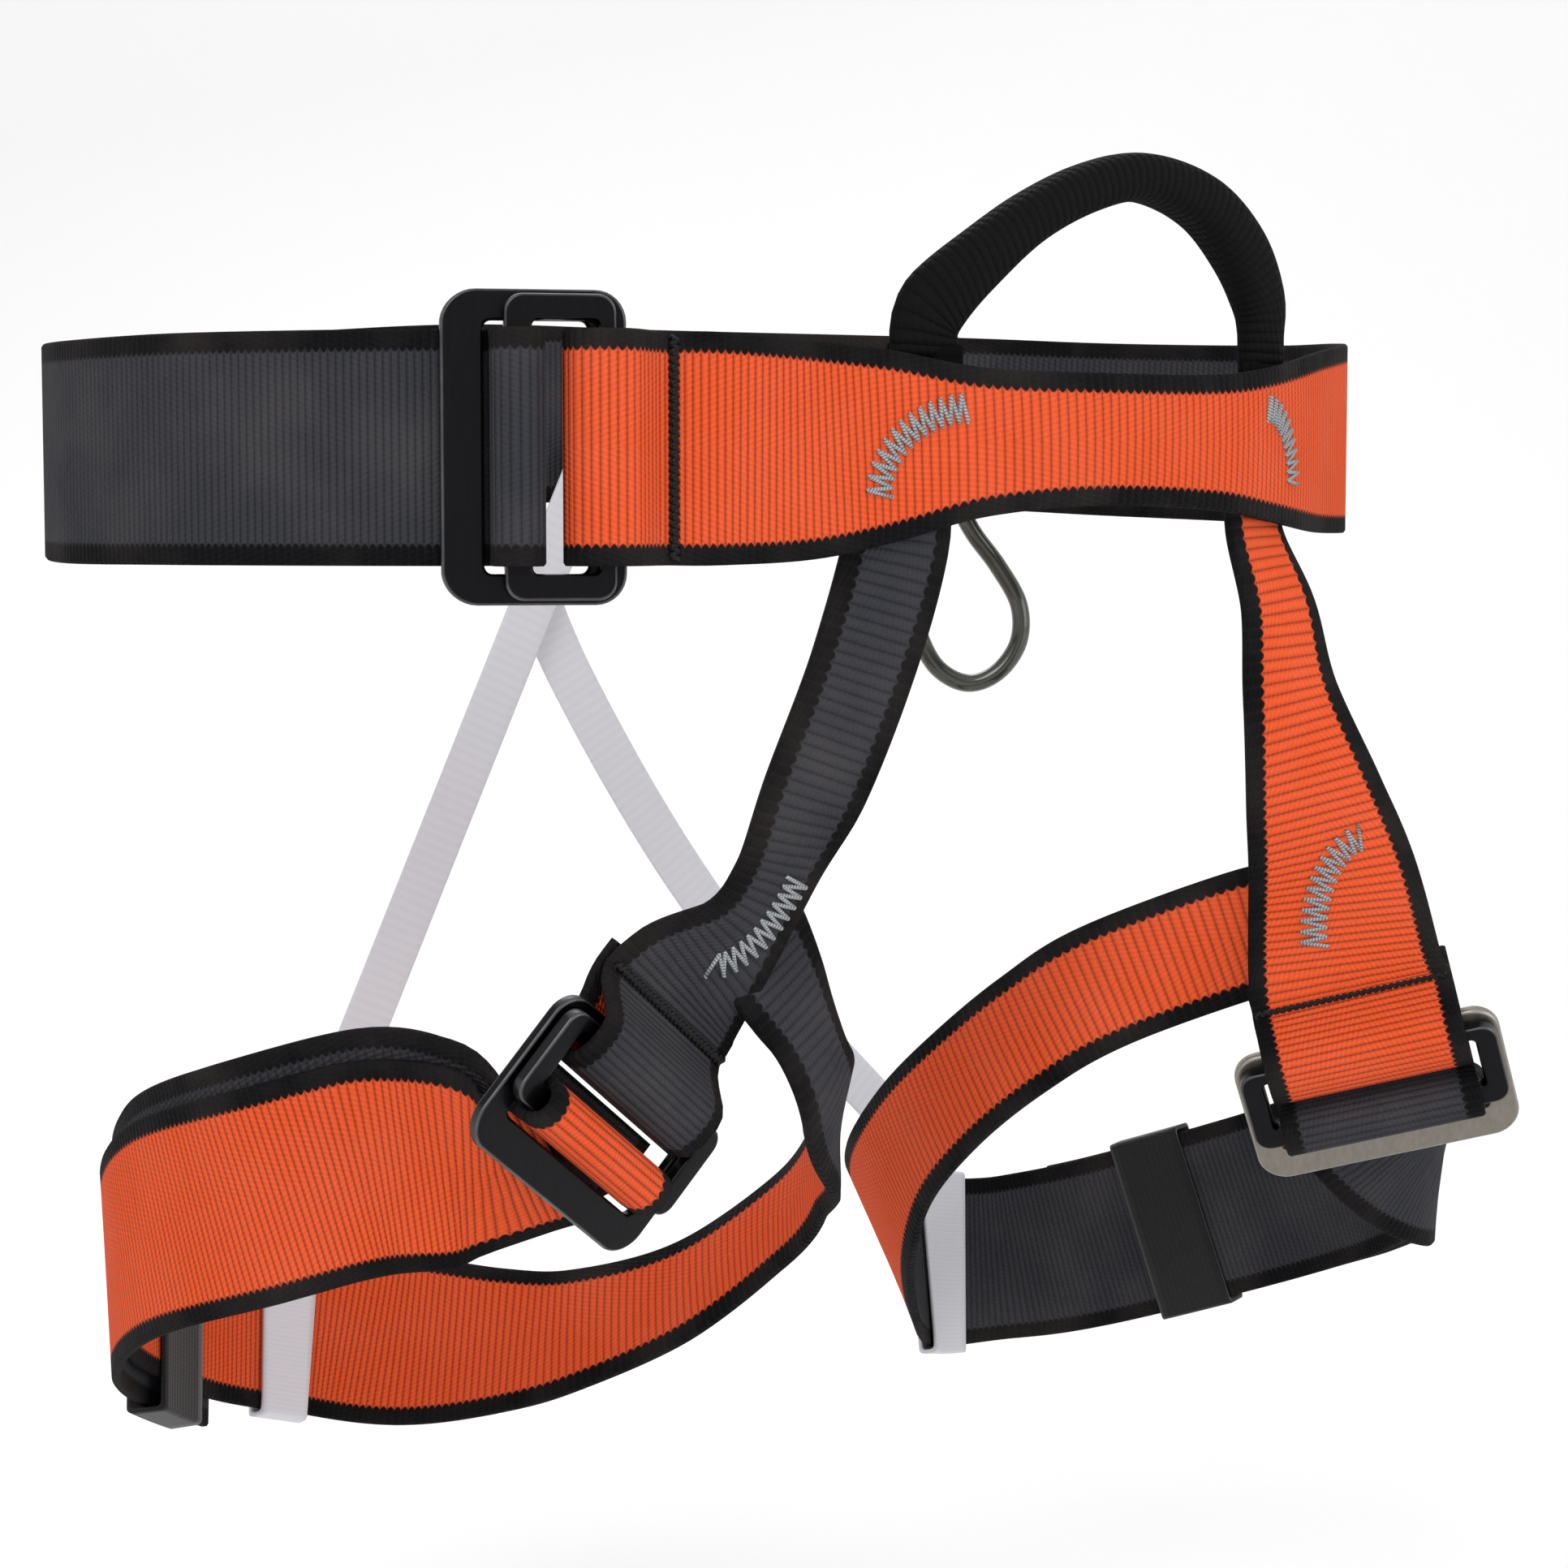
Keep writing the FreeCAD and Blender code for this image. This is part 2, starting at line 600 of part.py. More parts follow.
left_strap = Webbing([
    (104.2, -91.5, -103, 0, 0, 1, 29),
    (91, -80, -106, 0, 0, 1, 29),
    (69, -53, -120, 0, 0.1, 1, 29),
    (60, -34, -133, 0, 0.3, 0.95, 29),
    (55, -13, -149, 0, 0.5, 0.85, 30),
    (55, 8, -166, 0, 0.6, 0.8, 33),
    (64, 32, -186, -0.1, 0.6, 0.8, 38),
    (84, 58, -204, -0.2, 0.4, 0.9, 42),
    (108, 75, -214, -0.1, 0.2, 1, 45),
    (130, 72, -215, 0, 0, 1, 45),
    (144, 55, -210, 0, 0, 1, 45),
    (158, 32, -201, 0, 0, 1, 45),
    (170, 8, -191, 0, 0, 1, 45),
    (176, -18, -180, 0, 0, 1, 45),
    (170, -45, -169, 0, 0, 1, 45),
    (156, -67, -165, 0.1, -0.1, 1, 45),
    at_buckle(left_place, 42, -10, WEB, 5, across=(0.4, -0.4, 0.8)),
    at_buckle(left_place, 28, -2.6, WEB, 1, across=(0.68, -0.62, 0.35)),
    at_buckle(left_place, 20, THICK / 2 - 0.5),
    at_buckle(left_place, 11.9, THICK / 2),
]).facing((115, 0, -170))
keep_feature("left_leg_strap", left_strap.solid(THICK))


def leg_tail(label, strap, place, last, drop):
    """The strap's free end: out from under the wide bar, then laid over the strap."""
    end = strap.count() - 1
    rows = [at_buckle(place, 20.4, 3.8, across=tuple(strap.across[end]))]
    for i in range(end - 8, last, -4):
        rows.append(strap.station(i, drop * min(1.0, (end - i) / 16), STEP + 0.4))
    middle = sum(strap.middle, Vector()) * (1.0 / strap.count())
    tail = Webbing(rows).facing(tuple(middle))
    keep_feature(label, tail.solid(THICK))
    return tail


right_tail = leg_tail("right_leg_tail", right_strap, right_place, 42, -6.0)
left_tail = leg_tail("left_leg_tail", left_strap, left_place, 38, 0.0)

# ---- elastic keepers and white bands round the leg straps ----------------------------------
right_keeper_at = right_strap.nearest((-106, 78, -195))
left_keeper_at = left_strap.nearest((158, 32, -201))
sleeve("right_leg_keeper", right_strap.placement(right_keeper_at), "Sizes.keeper_wide", 2, 6.0)
sleeve("left_leg_keeper", left_strap.placement(left_keeper_at), "Sizes.keeper_wide", 2)
right_band_at = right_strap.nearest((-72, 92, -210))
left_band_at = left_strap.nearest((112, 76, -214))
sleeve("right_elastic_band", right_strap.placement(right_band_at), "Sizes.band_wide", 1, 0, "Sizes.band_gap")
sleeve("left_elastic_band", left_strap.placement(left_band_at), "Sizes.band_wide", 1, 0, "Sizes.band_gap")

# ---- rear elastics: from the back of the belt to the bands ----------------------------------


def rear_elastic(label, angle, off, strap, at, bow):
    """Flat elastic from behind the belt's lower edge to the top of the band on the leg strap."""
    top, out, along = on_ring(angle, 4.0, off)
    foot = strap.middle[at] + strap.across[at] * 31 - strap.out[at]
    rows = []
    for f in (0.0, 0.06, 0.3, 0.65, 1.0):
        p = top * (1 - f) + foot * f + Vector(-1.6, 1, 0) * (bow * f * (1 - f))
        rows.append((p.x, p.y, p.z, 1, 0, 0, size("elastic_width")))
    keep_feature(label, Webbing(rows).solid(size("elastic_thick")))


# the two cross just below the belt, one in front of the other
rear_elastic("right_rear_elastic", 173.5, -2 * STEP - 0.5, right_strap, right_band_at, 0)
rear_elastic("left_rear_elastic", 183.5, -STEP - 0.5, left_strap, left_band_at, 42)

# ---- tie-in loop: padded webbing arch that stands up behind the belt's top edge --------------
TIE_IN_PIVOT = 23.0
root_right, _, _ = on_ring(-4, TIE_IN_PIVOT, BEHIND - STEP)
root_left, _, _ = on_ring(38.5, TIE_IN_PIVOT, BEHIND - STEP)
span = (root_left - root_right)
reach = span.Length
arch_along = Vector(span).normalize()
arch_out = arch_along.cross(Vector(0, 0, 1))
# (fraction of the span, height above the pivot, width in the arch's plane, thickness)
ARCH = [
    (0.00, 0.4, 19, 4.5), (0.01, 4.5, 18, 5), (0.05, 9, 16, 6.5), (0.14, 16, 13.5, 8), (0.29, 26, 11, 10),
    (0.46, 33.5, 10.5, 11), (0.62, 36.6, 10.5, 11.5), (0.80, 32.5, 12.5, 11.5), (0.925, 23, 14.5, 10.5),
    (0.99, 12.5, 14.5, 8.5), (1.00, 5, 14, 6), (1.00, 0.4, 15, 4.5),
]


def arch_solid():
    rows = smooth([list(r) for r in ARCH], 2)
    centres = [root_right + arch_along * (r[0] * reach) + Vector(0, 0, r[1]) for r in rows]
    wires = []
    for i, r in enumerate(rows):
        ahead = centres[min(i + 1, len(rows) - 1)] - centres[max(i - 1, 0)]
        if i == 0 or i == len(rows) - 1:
            ahead = Vector(0, 0, 1 if i == 0 else -1)
        wide = max(r[2], r[3]) / 2 + 0.01
        ring = Part.Ellipse(Vector(0, 0, 0), wide, r[3] / 2)
        wire = Part.Wire([ring.toShape()])
        wire.Placement = frame_placement(centres[i], arch_out.cross(ahead.normalize()), ahead)
        wires.append(wire)
    return Part.makeLoft(wires, True, True)


keep_feature("tie_in_loop", arch_solid())

# ---- gear loop: stiff moulded drop-shaped loop hung on the belt's left rear ------------------
gear_point, gear_out, gear_along = on_ring(136, -11.0, 0.0)
# local x runs forward along the belt, local y up, local z towards the wearer
gear_place = frame_placement(gear_point, gear_along * -1.0, gear_out * -1.0)
GEAR = [(7, -2.0), (10, -7), (16, -15), (21.5, -25), (21.5, -35), (16, -43), (8, -46), (0, -42), (-5, -33), (-8, -20),
        (-10, -7), (-10, -2.0)]
gear = new_body("gear_loop", gear_place)
path = sketch_on(gear, "XY_Plane", "gear_loop_path")
curve = Part.BSplineCurve()
curve.interpolate([Vector(x, y, 0) for x, y in GEAR])
path.addGeometry(curve)
path.Visibility = False
profile = sketch_on(gear, "XZ_Plane", "gear_loop_profile")
profile.AttachmentOffset = Placement(Vector(0, 0, -GEAR[0][1]), FreeCAD.Rotation())
profile_row = profile.addGeometry(Part.Circle(Vector(GEAR[0][0], 0, 0), Vector(0, 0, 1), size("gear_tube") / 2))
radius_row = profile.addConstraint(Sketcher.Constraint("Radius", profile_row, size("gear_tube") / 2))
profile.setExpression(f"Constraints[{radius_row}]", "Sizes.gear_tube / 2")
profile.Visibility = False
tube = gear.newObject("PartDesign::AdditivePipe", "Tube")
tube.Profile = profile
tube.Spine = (path, ["Edge1"])
gear.Tip = tube
for label, x in (("gear_loop_front_tab", GEAR[0][0]), ("gear_loop_rear_tab", GEAR[-1][0])):
    rows = []
    for z in (8.0, 3.5, -1.0):
        p = gear_point + gear_along * -x + gear_out * (BEHIND - 0.9) + Vector(0, 0, z)
        rows.append((p.x, p.y, p.z, gear_along.x, gear_along.y, 0, 8))
    keep_feature(label, Webbing(rows, 2).facing((0, 0, 0)).solid(THICK))

# ---- stitching: arcs of bar tack and the lines that close the sewn eyes -----------------------
ON_TOP = THICK / 2 + size("thread_thick") / 2 + 0.25


def arc_marks(run, rise, start_across):
    """Quarter arc that leaves straight across the band and ends running along it."""
    marks = []
    for k in range(7):
        turn = math.radians(15 * k)
        marks.append((run * (1 - math.cos(turn)), start_across + rise * math.sin(turn)))
    return marks


TACKS = (
    ("right_belt_tack", belt, on_ring(-9.5, 0)[0], 22, 17, -10),
    ("left_belt_tack", belt, on_ring(38.8, 4)[0], -15, 17, -9),
    ("right_riser_tack", right_riser, Vector(-49, -74, -106), -30, 4, 2),
    ("left_riser_tack", left_riser, Vector(101, -92, -87), 24, -14, 8),
)
for label, web, spot, run, rise, start_across in TACKS:
    stitching(label, web, web.nearest(spot), arc_marks(run, rise, start_across), ON_TOP)


def eye_stitch(label, place):
    """Line of thread across the webbing where the eye closes."""
    body = new_body(label, place)
    line = sketch_on(body, "XY_Plane", label + "_line")
    closed_outline(line, [
        ("-Sizes.eye_stitch - 2.6", "-Sizes.web_width / 2 + 1"),
        ("-Sizes.eye_stitch - 0.6", "-Sizes.web_width / 2 + 1"),
        ("-Sizes.eye_stitch - 0.6", "Sizes.web_width / 2 - 1"),
        ("-Sizes.eye_stitch - 2.6", "Sizes.web_width / 2 - 1"),
    ])
    pad(body, line, "Sizes.thread_thick", offset="Sizes.layer_step + Sizes.web_thick + 0.3")


for name, place in (("waist", waist_place), ("right_leg", right_place), ("left_leg", left_place)):
    eye_stitch(name + "_eye_stitch", place)

# ---- check and write -----------------------------------------------------------------------
doc.recompute()
for item in doc.Objects:
    if "Invalid" in item.State or "Error" in item.State:
        raise RuntimeError(f"{item.Name} did not build: {item.State}")
os.makedirs("parts", exist_ok=True)
for part in parts:
    shape = part.Shape
    if shape.isNull() or not shape.isValid():
        raise RuntimeError(f"{part.Label} has no valid shape")
    shape.exportStep(f"parts/{part.Label}.step")
    print(part.Label, round(shape.Volume, 1), len(shape.Solids))
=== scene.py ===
"""Sit harness with double-back buckles: webbing, stitching, elastics, buckles, studio.

Lengths in the tables are millimetres; everything placed in the scene is in metres.
"""
import math
import bmesh
import bpy
import numpy as np
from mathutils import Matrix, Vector


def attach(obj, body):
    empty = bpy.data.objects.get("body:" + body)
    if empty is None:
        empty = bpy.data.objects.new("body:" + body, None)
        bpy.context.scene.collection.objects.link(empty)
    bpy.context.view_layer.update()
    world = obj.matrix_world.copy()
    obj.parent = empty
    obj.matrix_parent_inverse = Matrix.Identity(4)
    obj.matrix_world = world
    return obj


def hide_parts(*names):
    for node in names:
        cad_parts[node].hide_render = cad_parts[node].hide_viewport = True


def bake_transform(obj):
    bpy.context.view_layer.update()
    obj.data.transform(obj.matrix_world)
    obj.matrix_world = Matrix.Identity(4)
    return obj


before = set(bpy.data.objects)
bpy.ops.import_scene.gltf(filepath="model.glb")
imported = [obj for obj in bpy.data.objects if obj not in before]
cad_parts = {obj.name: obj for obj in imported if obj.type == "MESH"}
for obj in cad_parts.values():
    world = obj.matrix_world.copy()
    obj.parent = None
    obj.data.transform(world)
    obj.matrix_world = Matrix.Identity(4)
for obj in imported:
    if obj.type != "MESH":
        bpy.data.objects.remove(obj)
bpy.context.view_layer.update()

# ==== Waist belt ===========================================================================
# One length of 45 mm webbing, orange outside and charcoal inside with near-black borders.
# It is sewn round the buckle's bars, narrows at the tie-in point, goes round the wearer's
# left side and back, and ends as the strap that passes under the buckle.
MM = 0.001
WEB = 45.0  # full width of the webbing
THICK = 2.2
LAYER = 2.7  # from the middle of one layer of webbing to the middle of the next
REVERSE = 100.0  # added to the edge distances of a band's back, to tell it from the face
RING_WIDE = 157.5  # half axes of the waist ring
RING_DEEP = 101.5


def unit(v):
    return v / np.linalg.norm(v, axis=-1, keepdims=True)


def dense(rows, step):
    """Rows of numbers sampled about every `step` mm along a smooth curve through them."""
    rows = np.array(rows, float)
    ends = np.vstack([rows[:1], rows, rows[-1:]])
    out = []
    for a, b, c, d in zip(ends, ends[1:], ends[2:], ends[3:]):
        count = max(1, int(np.linalg.norm(c[:3] - b[:3]) / step))
        for f in np.arange(count) / count:
            out.append(0.5 * (2 * b + (c - a) * f + (2 * a - 5 * b + 4 * c - d) * f ** 2
                              + (3 * b - a - 3 * c + d) * f ** 3))
    return np.array(out + [rows[-1]])


def run_along(points):
    """Distance of each point from the first, along the line."""
    steps = np.linalg.norm(np.diff(points, axis=0), axis=1)
    return np.concatenate([[0.0], np.cumsum(steps)])


def skin(name, rings, along, across, closed=False):
    """Mesh through rings of points; quad j of ring i has UV (along[i], across[i][j])."""
    count, size = rings.shape[:2]
    faces, uvs = [], []
    for i in range(count if closed else count - 1):
        n = (i + 1) % count
        for j in range(size):
            k = (j + 1) % size
            faces.append((i * size + j, i * size + k, n * size + k, n * size + j))
            uvs += [along[i], across[i][j][0], along[i], across[i][j][1]]
            uvs += [along[i + 1], across[n][j][1], along[i + 1], across[n][j][0]]
    if not closed:
        for i in (0, count - 1):
            faces.append(tuple(i * size + j for j in range(size)))
            uvs += [along[i], 0.0] * size
    mesh = bpy.data.meshes.new(name)
    mesh.from_pydata((rings.reshape(-1, 3) * MM).tolist(), [], faces)
    mesh.uv_layers.new(name="Weave").data.foreach_set("uv", uvs)
    work = bmesh.new()
    work.from_mesh(mesh)
    bmesh.ops.recalc_face_normals(work, faces=work.faces)
    work.to_mesh(mesh)
    work.free()
    mesh.polygons.foreach_set("use_smooth", [len(f) == 4 for f in faces])
    piece = bpy.data.objects.new(name, mesh)
    bpy.context.scene.collection.objects.link(piece)
    return piece


class Band:
    """Webbing along a smooth line through rows (x, y, z, width direction x, y, z, width)."""

    def __init__(self, rows, away_from, flip=False, step=2.0):
        rows = dense(rows, step)
        self.p = rows[:, :3]
        self.width = rows[:, 6]
        along = unit(np.gradient(self.p, axis=0))
        side = rows[:, 3:6]
        self.side = unit(side - along * np.sum(side * along, axis=1, keepdims=True))
        self.out = unit(np.cross(along, self.side))
        mid = len(rows) // 2
        if (np.dot(self.out[mid], self.p[mid] - np.array(away_from)) < 0) != flip:
            self.out = -self.out
        self.s = run_along(self.p)
        self.crown = (WEB - self.width) * 0.045

    def mesh(self, name, thick=THICK, crown=True):
        """Section with rounded edges; UV is (ribs counted along, mm from the nearer edge)."""
        pitch = np.interp(self.width, [26, 44], [2.5, 1.55])
        ribs = np.concatenate([[0.0], np.cumsum(np.diff(self.s) / pitch[1:])])
        rings, pairs = [], []
        for p, side, out, w, c in zip(self.p, self.side, self.out, self.width, self.crown):
            half = w / 2
            lip = min(4.0, half * 0.4)
            spots = [-half + 0.6, -half + lip, -half / 2, 0, half / 2, half - lip, half - 0.6]
            swell = c if crown else 0.0
            face = [(v, thick / 2 + swell * (1 - (v / half) ** 2)) for v in spots]
            back = [(v, -h) for v, h in reversed(face)]
            ring = face + [(half, thick * 0.3), (half, -thick * 0.3)]
            ring += back + [(-half, -thick * 0.3), (-half, thick * 0.3)]
            rings.append([p + side * v + out * n for v, n in ring])
            inset = [half - abs(v) for v in spots]
            front = list(zip(inset, inset[1:]))
            rear = [(a + REVERSE, b + REVERSE) for a, b in zip(inset[::-1], inset[::-1][1:])]
            turn = [(0.6, 0.0), (0.0, 0.0), (REVERSE, REVERSE + 0.6)]
            turn_back = [(REVERSE + 0.6, REVERSE), (0.0, 0.0), (0.0, 0.6)]
            pairs.append(front + turn + rear + turn_back)
        return skin(name, np.array(rings), ribs, pairs)

    def nearest(self, point):
        return self.s[np.argmin(np.linalg.norm(self.p - np.array(point), axis=1))]

    def at(self, s, v, n):
        """Point at run s, v to the side and n above the middle, with the outward direction."""
        p = np.array([np.interp(s, self.s, self.p[:, k]) for k in range(3)])
        side = unit(np.array([np.interp(s, self.s, self.side[:, k]) for k in range(3)]))
        out = unit(np.array([np.interp(s, self.s, self.out[:, k]) for k in range(3)]))
        return p + side * v + out * n, out

    def top(self, s, v):
        """Height of the webbing's skin above its middle at that spot."""
        half = np.interp(s, self.s, self.width) / 2
        return THICK / 2 + np.interp(s, self.s, self.crown) * (1 - min(abs(v) / half, 1) ** 2)


class Place:
    """A buckle's own frame: u along the strap from the pivot, v across, n outward."""

    def __init__(self, origin, along, out):
        self.o = np.array(origin, float)
        self.u = unit(np.array(along, float))
        out = np.array(out, float)
        self.n = unit(out - self.u * np.dot(out, self.u))
        self.v = np.cross(self.n, self.u)

    def at(self, u, n, v=0.0):
        return self.o + self.u * u + self.v * v + self.n * n

    def row(self, u, n, v=0.0, width=WEB, side=None):
        direction = self.v if side is None else np.array(side, float)
        return [*self.at(u, n, v), *direction, width]


def on_ring(angle, height=0.0, off=0.0):
    """Point, outward and travel directions on the waist ring, angle in degrees from the front."""
    s, c = math.sin(math.radians(angle)), math.cos(math.radians(angle))
    out = unit(np.array([s / RING_WIDE, -c / RING_DEEP, 0.0]))
    travel = unit(np.array([RING_WIDE * c, RING_DEEP * s, 0.0]))
    return np.array([RING_WIDE * s, -RING_DEEP * c, height]) + out * off, out, travel


# (u, n) of the webbing sewn round the two bars, from its buried end up and over
EYE = [(-17.5, 1.1), (-12.5, 1.1), (-8.5, 2.0), (-3.6, 3.7), (2.8, 3.9), (6.0, 5.2), (7.35, 8.45),
       (6.0, 11.7), (2.8, 13.0), (-3.6, 12.8), (-8.2, 7.4), (-12.2, 3.75)]


class Sock:
    """A shader socket that takes part in Python arithmetic."""

    def __init__(self, shade, socket):
        self.shade, self.socket = shade, socket

    def math(self, operation, *values):
        spots = dict(enumerate(values))
        return self.shade.node("ShaderNodeMath", {"operation": operation}, spots)

    def __add__(self, other):
        return self.math("ADD", self, other)

    def __sub__(self, other):
        return self.math("SUBTRACT", self, other)

    def __rsub__(self, other):
        return self.math("SUBTRACT", other, self)

    def __mul__(self, other):
        return self.math("MULTIPLY", self, other)

    def __pow__(self, other):
        return self.math("POWER", self, other)

    def __gt__(self, other):
        return self.math("GREATER_THAN", self, other)

    __radd__ = __add__

    def sin(self):
        return self.math("SINE", self)

    def abs(self):
        return self.math("ABSOLUTE", self)

    def clamp(self):
        return self.math("MINIMUM", self.math("MAXIMUM", self, 0.0), 1.0)


class Shade:
    """A material; node() adds any node: its settings first, then values or links of sockets."""

    def __init__(self, name, **constants):
        self.material = bpy.data.materials.new(name)
        self.material.use_nodes = True
        self.tree = self.material.node_tree
        self.surface = self.tree.nodes["Principled BSDF"]
        for key, value in constants.items():
            self.surface.inputs[key.replace("_", " ")].default_value = value

    def node(self, kind, settings=None, sockets=None, output=0):
        made = self.tree.nodes.new(kind)
        for key, value in (settings or {}).items():
            setattr(made, key, value)
        for key, value in (sockets or {}).items():
            if isinstance(value, Sock):
                self.tree.links.new(value.socket, made.inputs[key])
            else:
                made.inputs[key].default_value = value
        return Sock(self, made.outputs[output])

    def weave(self):
        """The two numbers of the Weave UV layer."""
        uv = self.node("ShaderNodeUVMap", {"uv_map": "Weave"})
        return [self.node("ShaderNodeSeparateXYZ", None, {0: uv}, k) for k in (0, 1)]

    def noise(self, scale, detail=3.0, stretch=(1.0, 1.0, 1.0)):
        where = self.node("ShaderNodeTexCoord", None, None, 3)
        where = self.node("ShaderNodeMapping", None, {"Vector": where, "Scale": stretch})
        return self.node("ShaderNodeTexNoise", None, {"Vector": where, "Scale": scale, "Detail": detail})

    def mix(self, factor, a, b):
        return self.node("ShaderNodeMix", {"data_type": "RGBA"}, {0: factor, 6: a, 7: b}, 2)

    def bump(self, height, distance, strength=1.0):
        return self.node("ShaderNodeBump", None,
                         {"Height": height, "Distance": distance, "Strength": strength})

    def finish(self, **inputs):
        for key, value in inputs.items():
            self.tree.links.new(value.socket, self.surface.inputs[key.replace("_", " ")])
        return self.material


def two_faced_webbing(name, face, back, border):
    """Weft ribs across the band, fine warp along it, and a toothed border down both edges."""
    shade = Shade(name, Specular_IOR_Level=0.08)
    ribs, edge = shade.weave()
    behind = edge > REVERSE / 2
    inset = edge - behind * REVERSE
    crest = (ribs * math.pi).sin().abs()
    warp = ((inset * 5.6 + ribs * math.pi).sin() + 1.0) * 0.5
    tooth = inset - 3.4 - crest * 0.9
    inside = (tooth * 2.5 + 0.5).clamp()
    cloud = shade.noise(45.0)
    fibre = shade.noise(2600.0, 2.0)
    body = shade.mix(behind, face, back)
    colour = shade.mix(inside, border, body)
    shadow = ((1.0 - crest) ** 2.0) * 0.5 + (1.0 - warp) * 0.14 + (fibre - 0.5) * 0.35
    colour = shade.mix(shadow.clamp(), colour, (0.012, 0.012, 0.014, 1.0))
    pale = shade.node("ShaderNodeMix", {"data_type": "RGBA", "blend_type": "ADD"},
                      {0: ((cloud - 0.4) * 0.05).clamp(), 6: colour, 7: (1.0, 0.8, 0.7, 1.0)}, 2)
    height = crest ** 0.7 * 0.8 + warp * 0.25 + fibre * 0.25
    return shade.finish(Base_Color=pale, Roughness=0.72 + fibre * 0.25,
                        Normal=shade.bump(height, 0.0006, 0.9))


ORANGE = (0.76, 0.092, 0.024, 1.0)
CHARCOAL = (0.036, 0.037, 0.044, 1.0)
BORDER = (0.003, 0.003, 0.0035, 1.0)
webbing = two_faced_webbing("webbing", ORANGE, CHARCOAL, BORDER)


def put(piece, material, body=None, nodes=()):
    """Material, material slot, CAD nodes it stands for, and the body it moves with."""
    piece.data.materials.append(material)
    if nodes:
        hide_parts(*nodes)
    if body:
        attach(piece, body)
    return piece


buckle_spot, buckle_out, buckle_travel = on_ring(-30.8, 0.0, -1.1)
waist_place = Place(buckle_spot, -buckle_travel, buckle_out)
# (angle, height of the middle, width, distance off the ring)
BELT = [
    (-22, 0, 45, 3.8), (-15, 0, 43, 1.6), (-8, 1, 38, 0), (0, 2, 30, 0), (11, 3, 27.5, 0), (25, 3, 29, 0),
    (35, 3, 34, 0), (48, 4, 41, 0), (65, 6, 45, 3), (90, 8, 45, 3), (115, 10, 45, 0), (135, 12, 45, 0),
    (165, 13, 45, 0), (185, 13, 45, 0), (205, 9, 45, 0), (230, 4, 45, -1), (250, 1, 45, -3),
    (270, 0, 45, -4), (290, 0, 45, -2), (305, 0, 45, -0.5),
]
UP = (0, 0, 1)
rows = [waist_place.row(u, n, side=UP) for u, n in EYE]
rows += [[*on_ring(angle, height, off)[0], *UP, width] for angle, height, width, off in BELT]
rows += [waist_place.row(u, n, side=UP) for u, n in ((33, 0.2), (26, 0.9), (20.4, 1.1), (11.9, 1.1))]
belt = Band(rows, (0, 0, 0))
waist_belt = put(belt.mesh("waist_belt_webbing"), webbing, "waist", ["waist_belt", "waist_sewn_eye"])

# The same webbing doubled back: its free end lies over the belt, charcoal side out.
TAIL = [(305, 0, -0.5), (290, 0, -2), (270, 0, -4), (250, 1, -3), (236, 3, -1.5), (222, 5, -0.5)]
rows = [waist_place.row(u, n, side=UP) for u, n in ((20.4, 3.8), (26, 3.6), (33, 2.9))]
rows += [[*on_ring(angle, height, off + LAYER + 0.3)[0], *UP, WEB] for angle, height, off in TAIL]
tail = Band(rows, (0, 0, 0), flip=True)
waist_tail = put(tail.mesh("waist_tail_webbing"), webbing, "waist", ["waist_tail"])

# ==== Buckles ==============================================================================
# Each buckle is two flat alloy pieces on one pivot, black anodised, with a painted highlight along
# the edges: a rear plate with a wide bar, and a front frame that the webbing folds over.
# The fold belongs to the strap and tilts with the frame.


def anodised(name, colour, highlight_colour):
    shade = Shade(name, Metallic=0.9, Coat_Weight=0.12, Coat_Roughness=0.15, Specular_IOR_Level=0.3)
    # Painted highlight: the colour turns light along sharp edges, patchy with noise.
    edge_highlight = shade.node("ShaderNodeNewGeometry", None, None, 7)
    edge_highlight = ((edge_highlight - 0.53) * 14.0).clamp() * (0.35 + shade.noise(220.0) * 0.9)
    grain = shade.noise(900.0, 3.0, (1.0, 1.0, 0.08))
    tone = shade.mix(grain, colour, [c * 1.7 for c in colour[:3]] + [1.0])
    return shade.finish(Base_Color=shade.mix(edge_highlight.clamp(), tone, highlight_colour),
                        Roughness=0.30 + grain * 0.16, Normal=shade.bump(grain, 0.00008, 0.5))


black_alloy = anodised("anodised_black", (0.004, 0.004, 0.005, 1.0), (0.45, 0.45, 0.47, 1.0))
# For the left leg's rear plate: its grey-brown colour is a painted reflection of the white surroundings,
# with a painted highlight on its edges.
reflection_painted_alloy = anodised("anodised_painted_reflection", (0.16, 0.145, 0.125, 1.0), (0.72, 0.70, 0.66, 1.0))


def rounded(u0, u1, half, radius, bulge=0.0):
    """Outline points of a rounded rectangle, the far side bowed out by `bulge`."""
    points = []
    for cu, cv, start in ((u1 - radius, half - radius, 0), (u0 + radius, half - radius, 90),
                          (u0 + radius, -half + radius, 180), (u1 - radius, -half + radius, 270)):
        for k in range(9):
            t = math.radians(start + k * 11.25)
            points.append((cu + radius * math.cos(t), cv + radius * math.sin(t)))
    return [(u - bulge * (v / half) ** 2 * (u > (u0 + u1) / 2), v) for u, v in points]


def flat_ring(name, place, outline, window, low, high, arch):
    """Plate with a window: two outlines joined top and bottom, edges rounded, bars domed."""
    loops = []
    for points, n in ((outline, high), (window, high), (window, low), (outline, low)):
        loops.append([place.at(u, n + (arch if n == high else 0.0), v) for u, v in points])
    rings = np.array(loops).transpose(1, 0, 2)
    flat = [[(0.0, 1.0)] * 4] * len(rings)
    piece = skin(name, rings, list(range(len(rings) + 1)), flat, closed=True)
    rim = piece.modifiers.new("rim", "BEVEL")
    rim.width = 0.0007
    rim.segments = 3
    rim.limit_method = "ANGLE"
    rim.angle_limit = math.radians(40)
    normals = piece.modifiers.new("normals", "WEIGHTED_NORMAL")
    normals.keep_sharp = True
    return piece


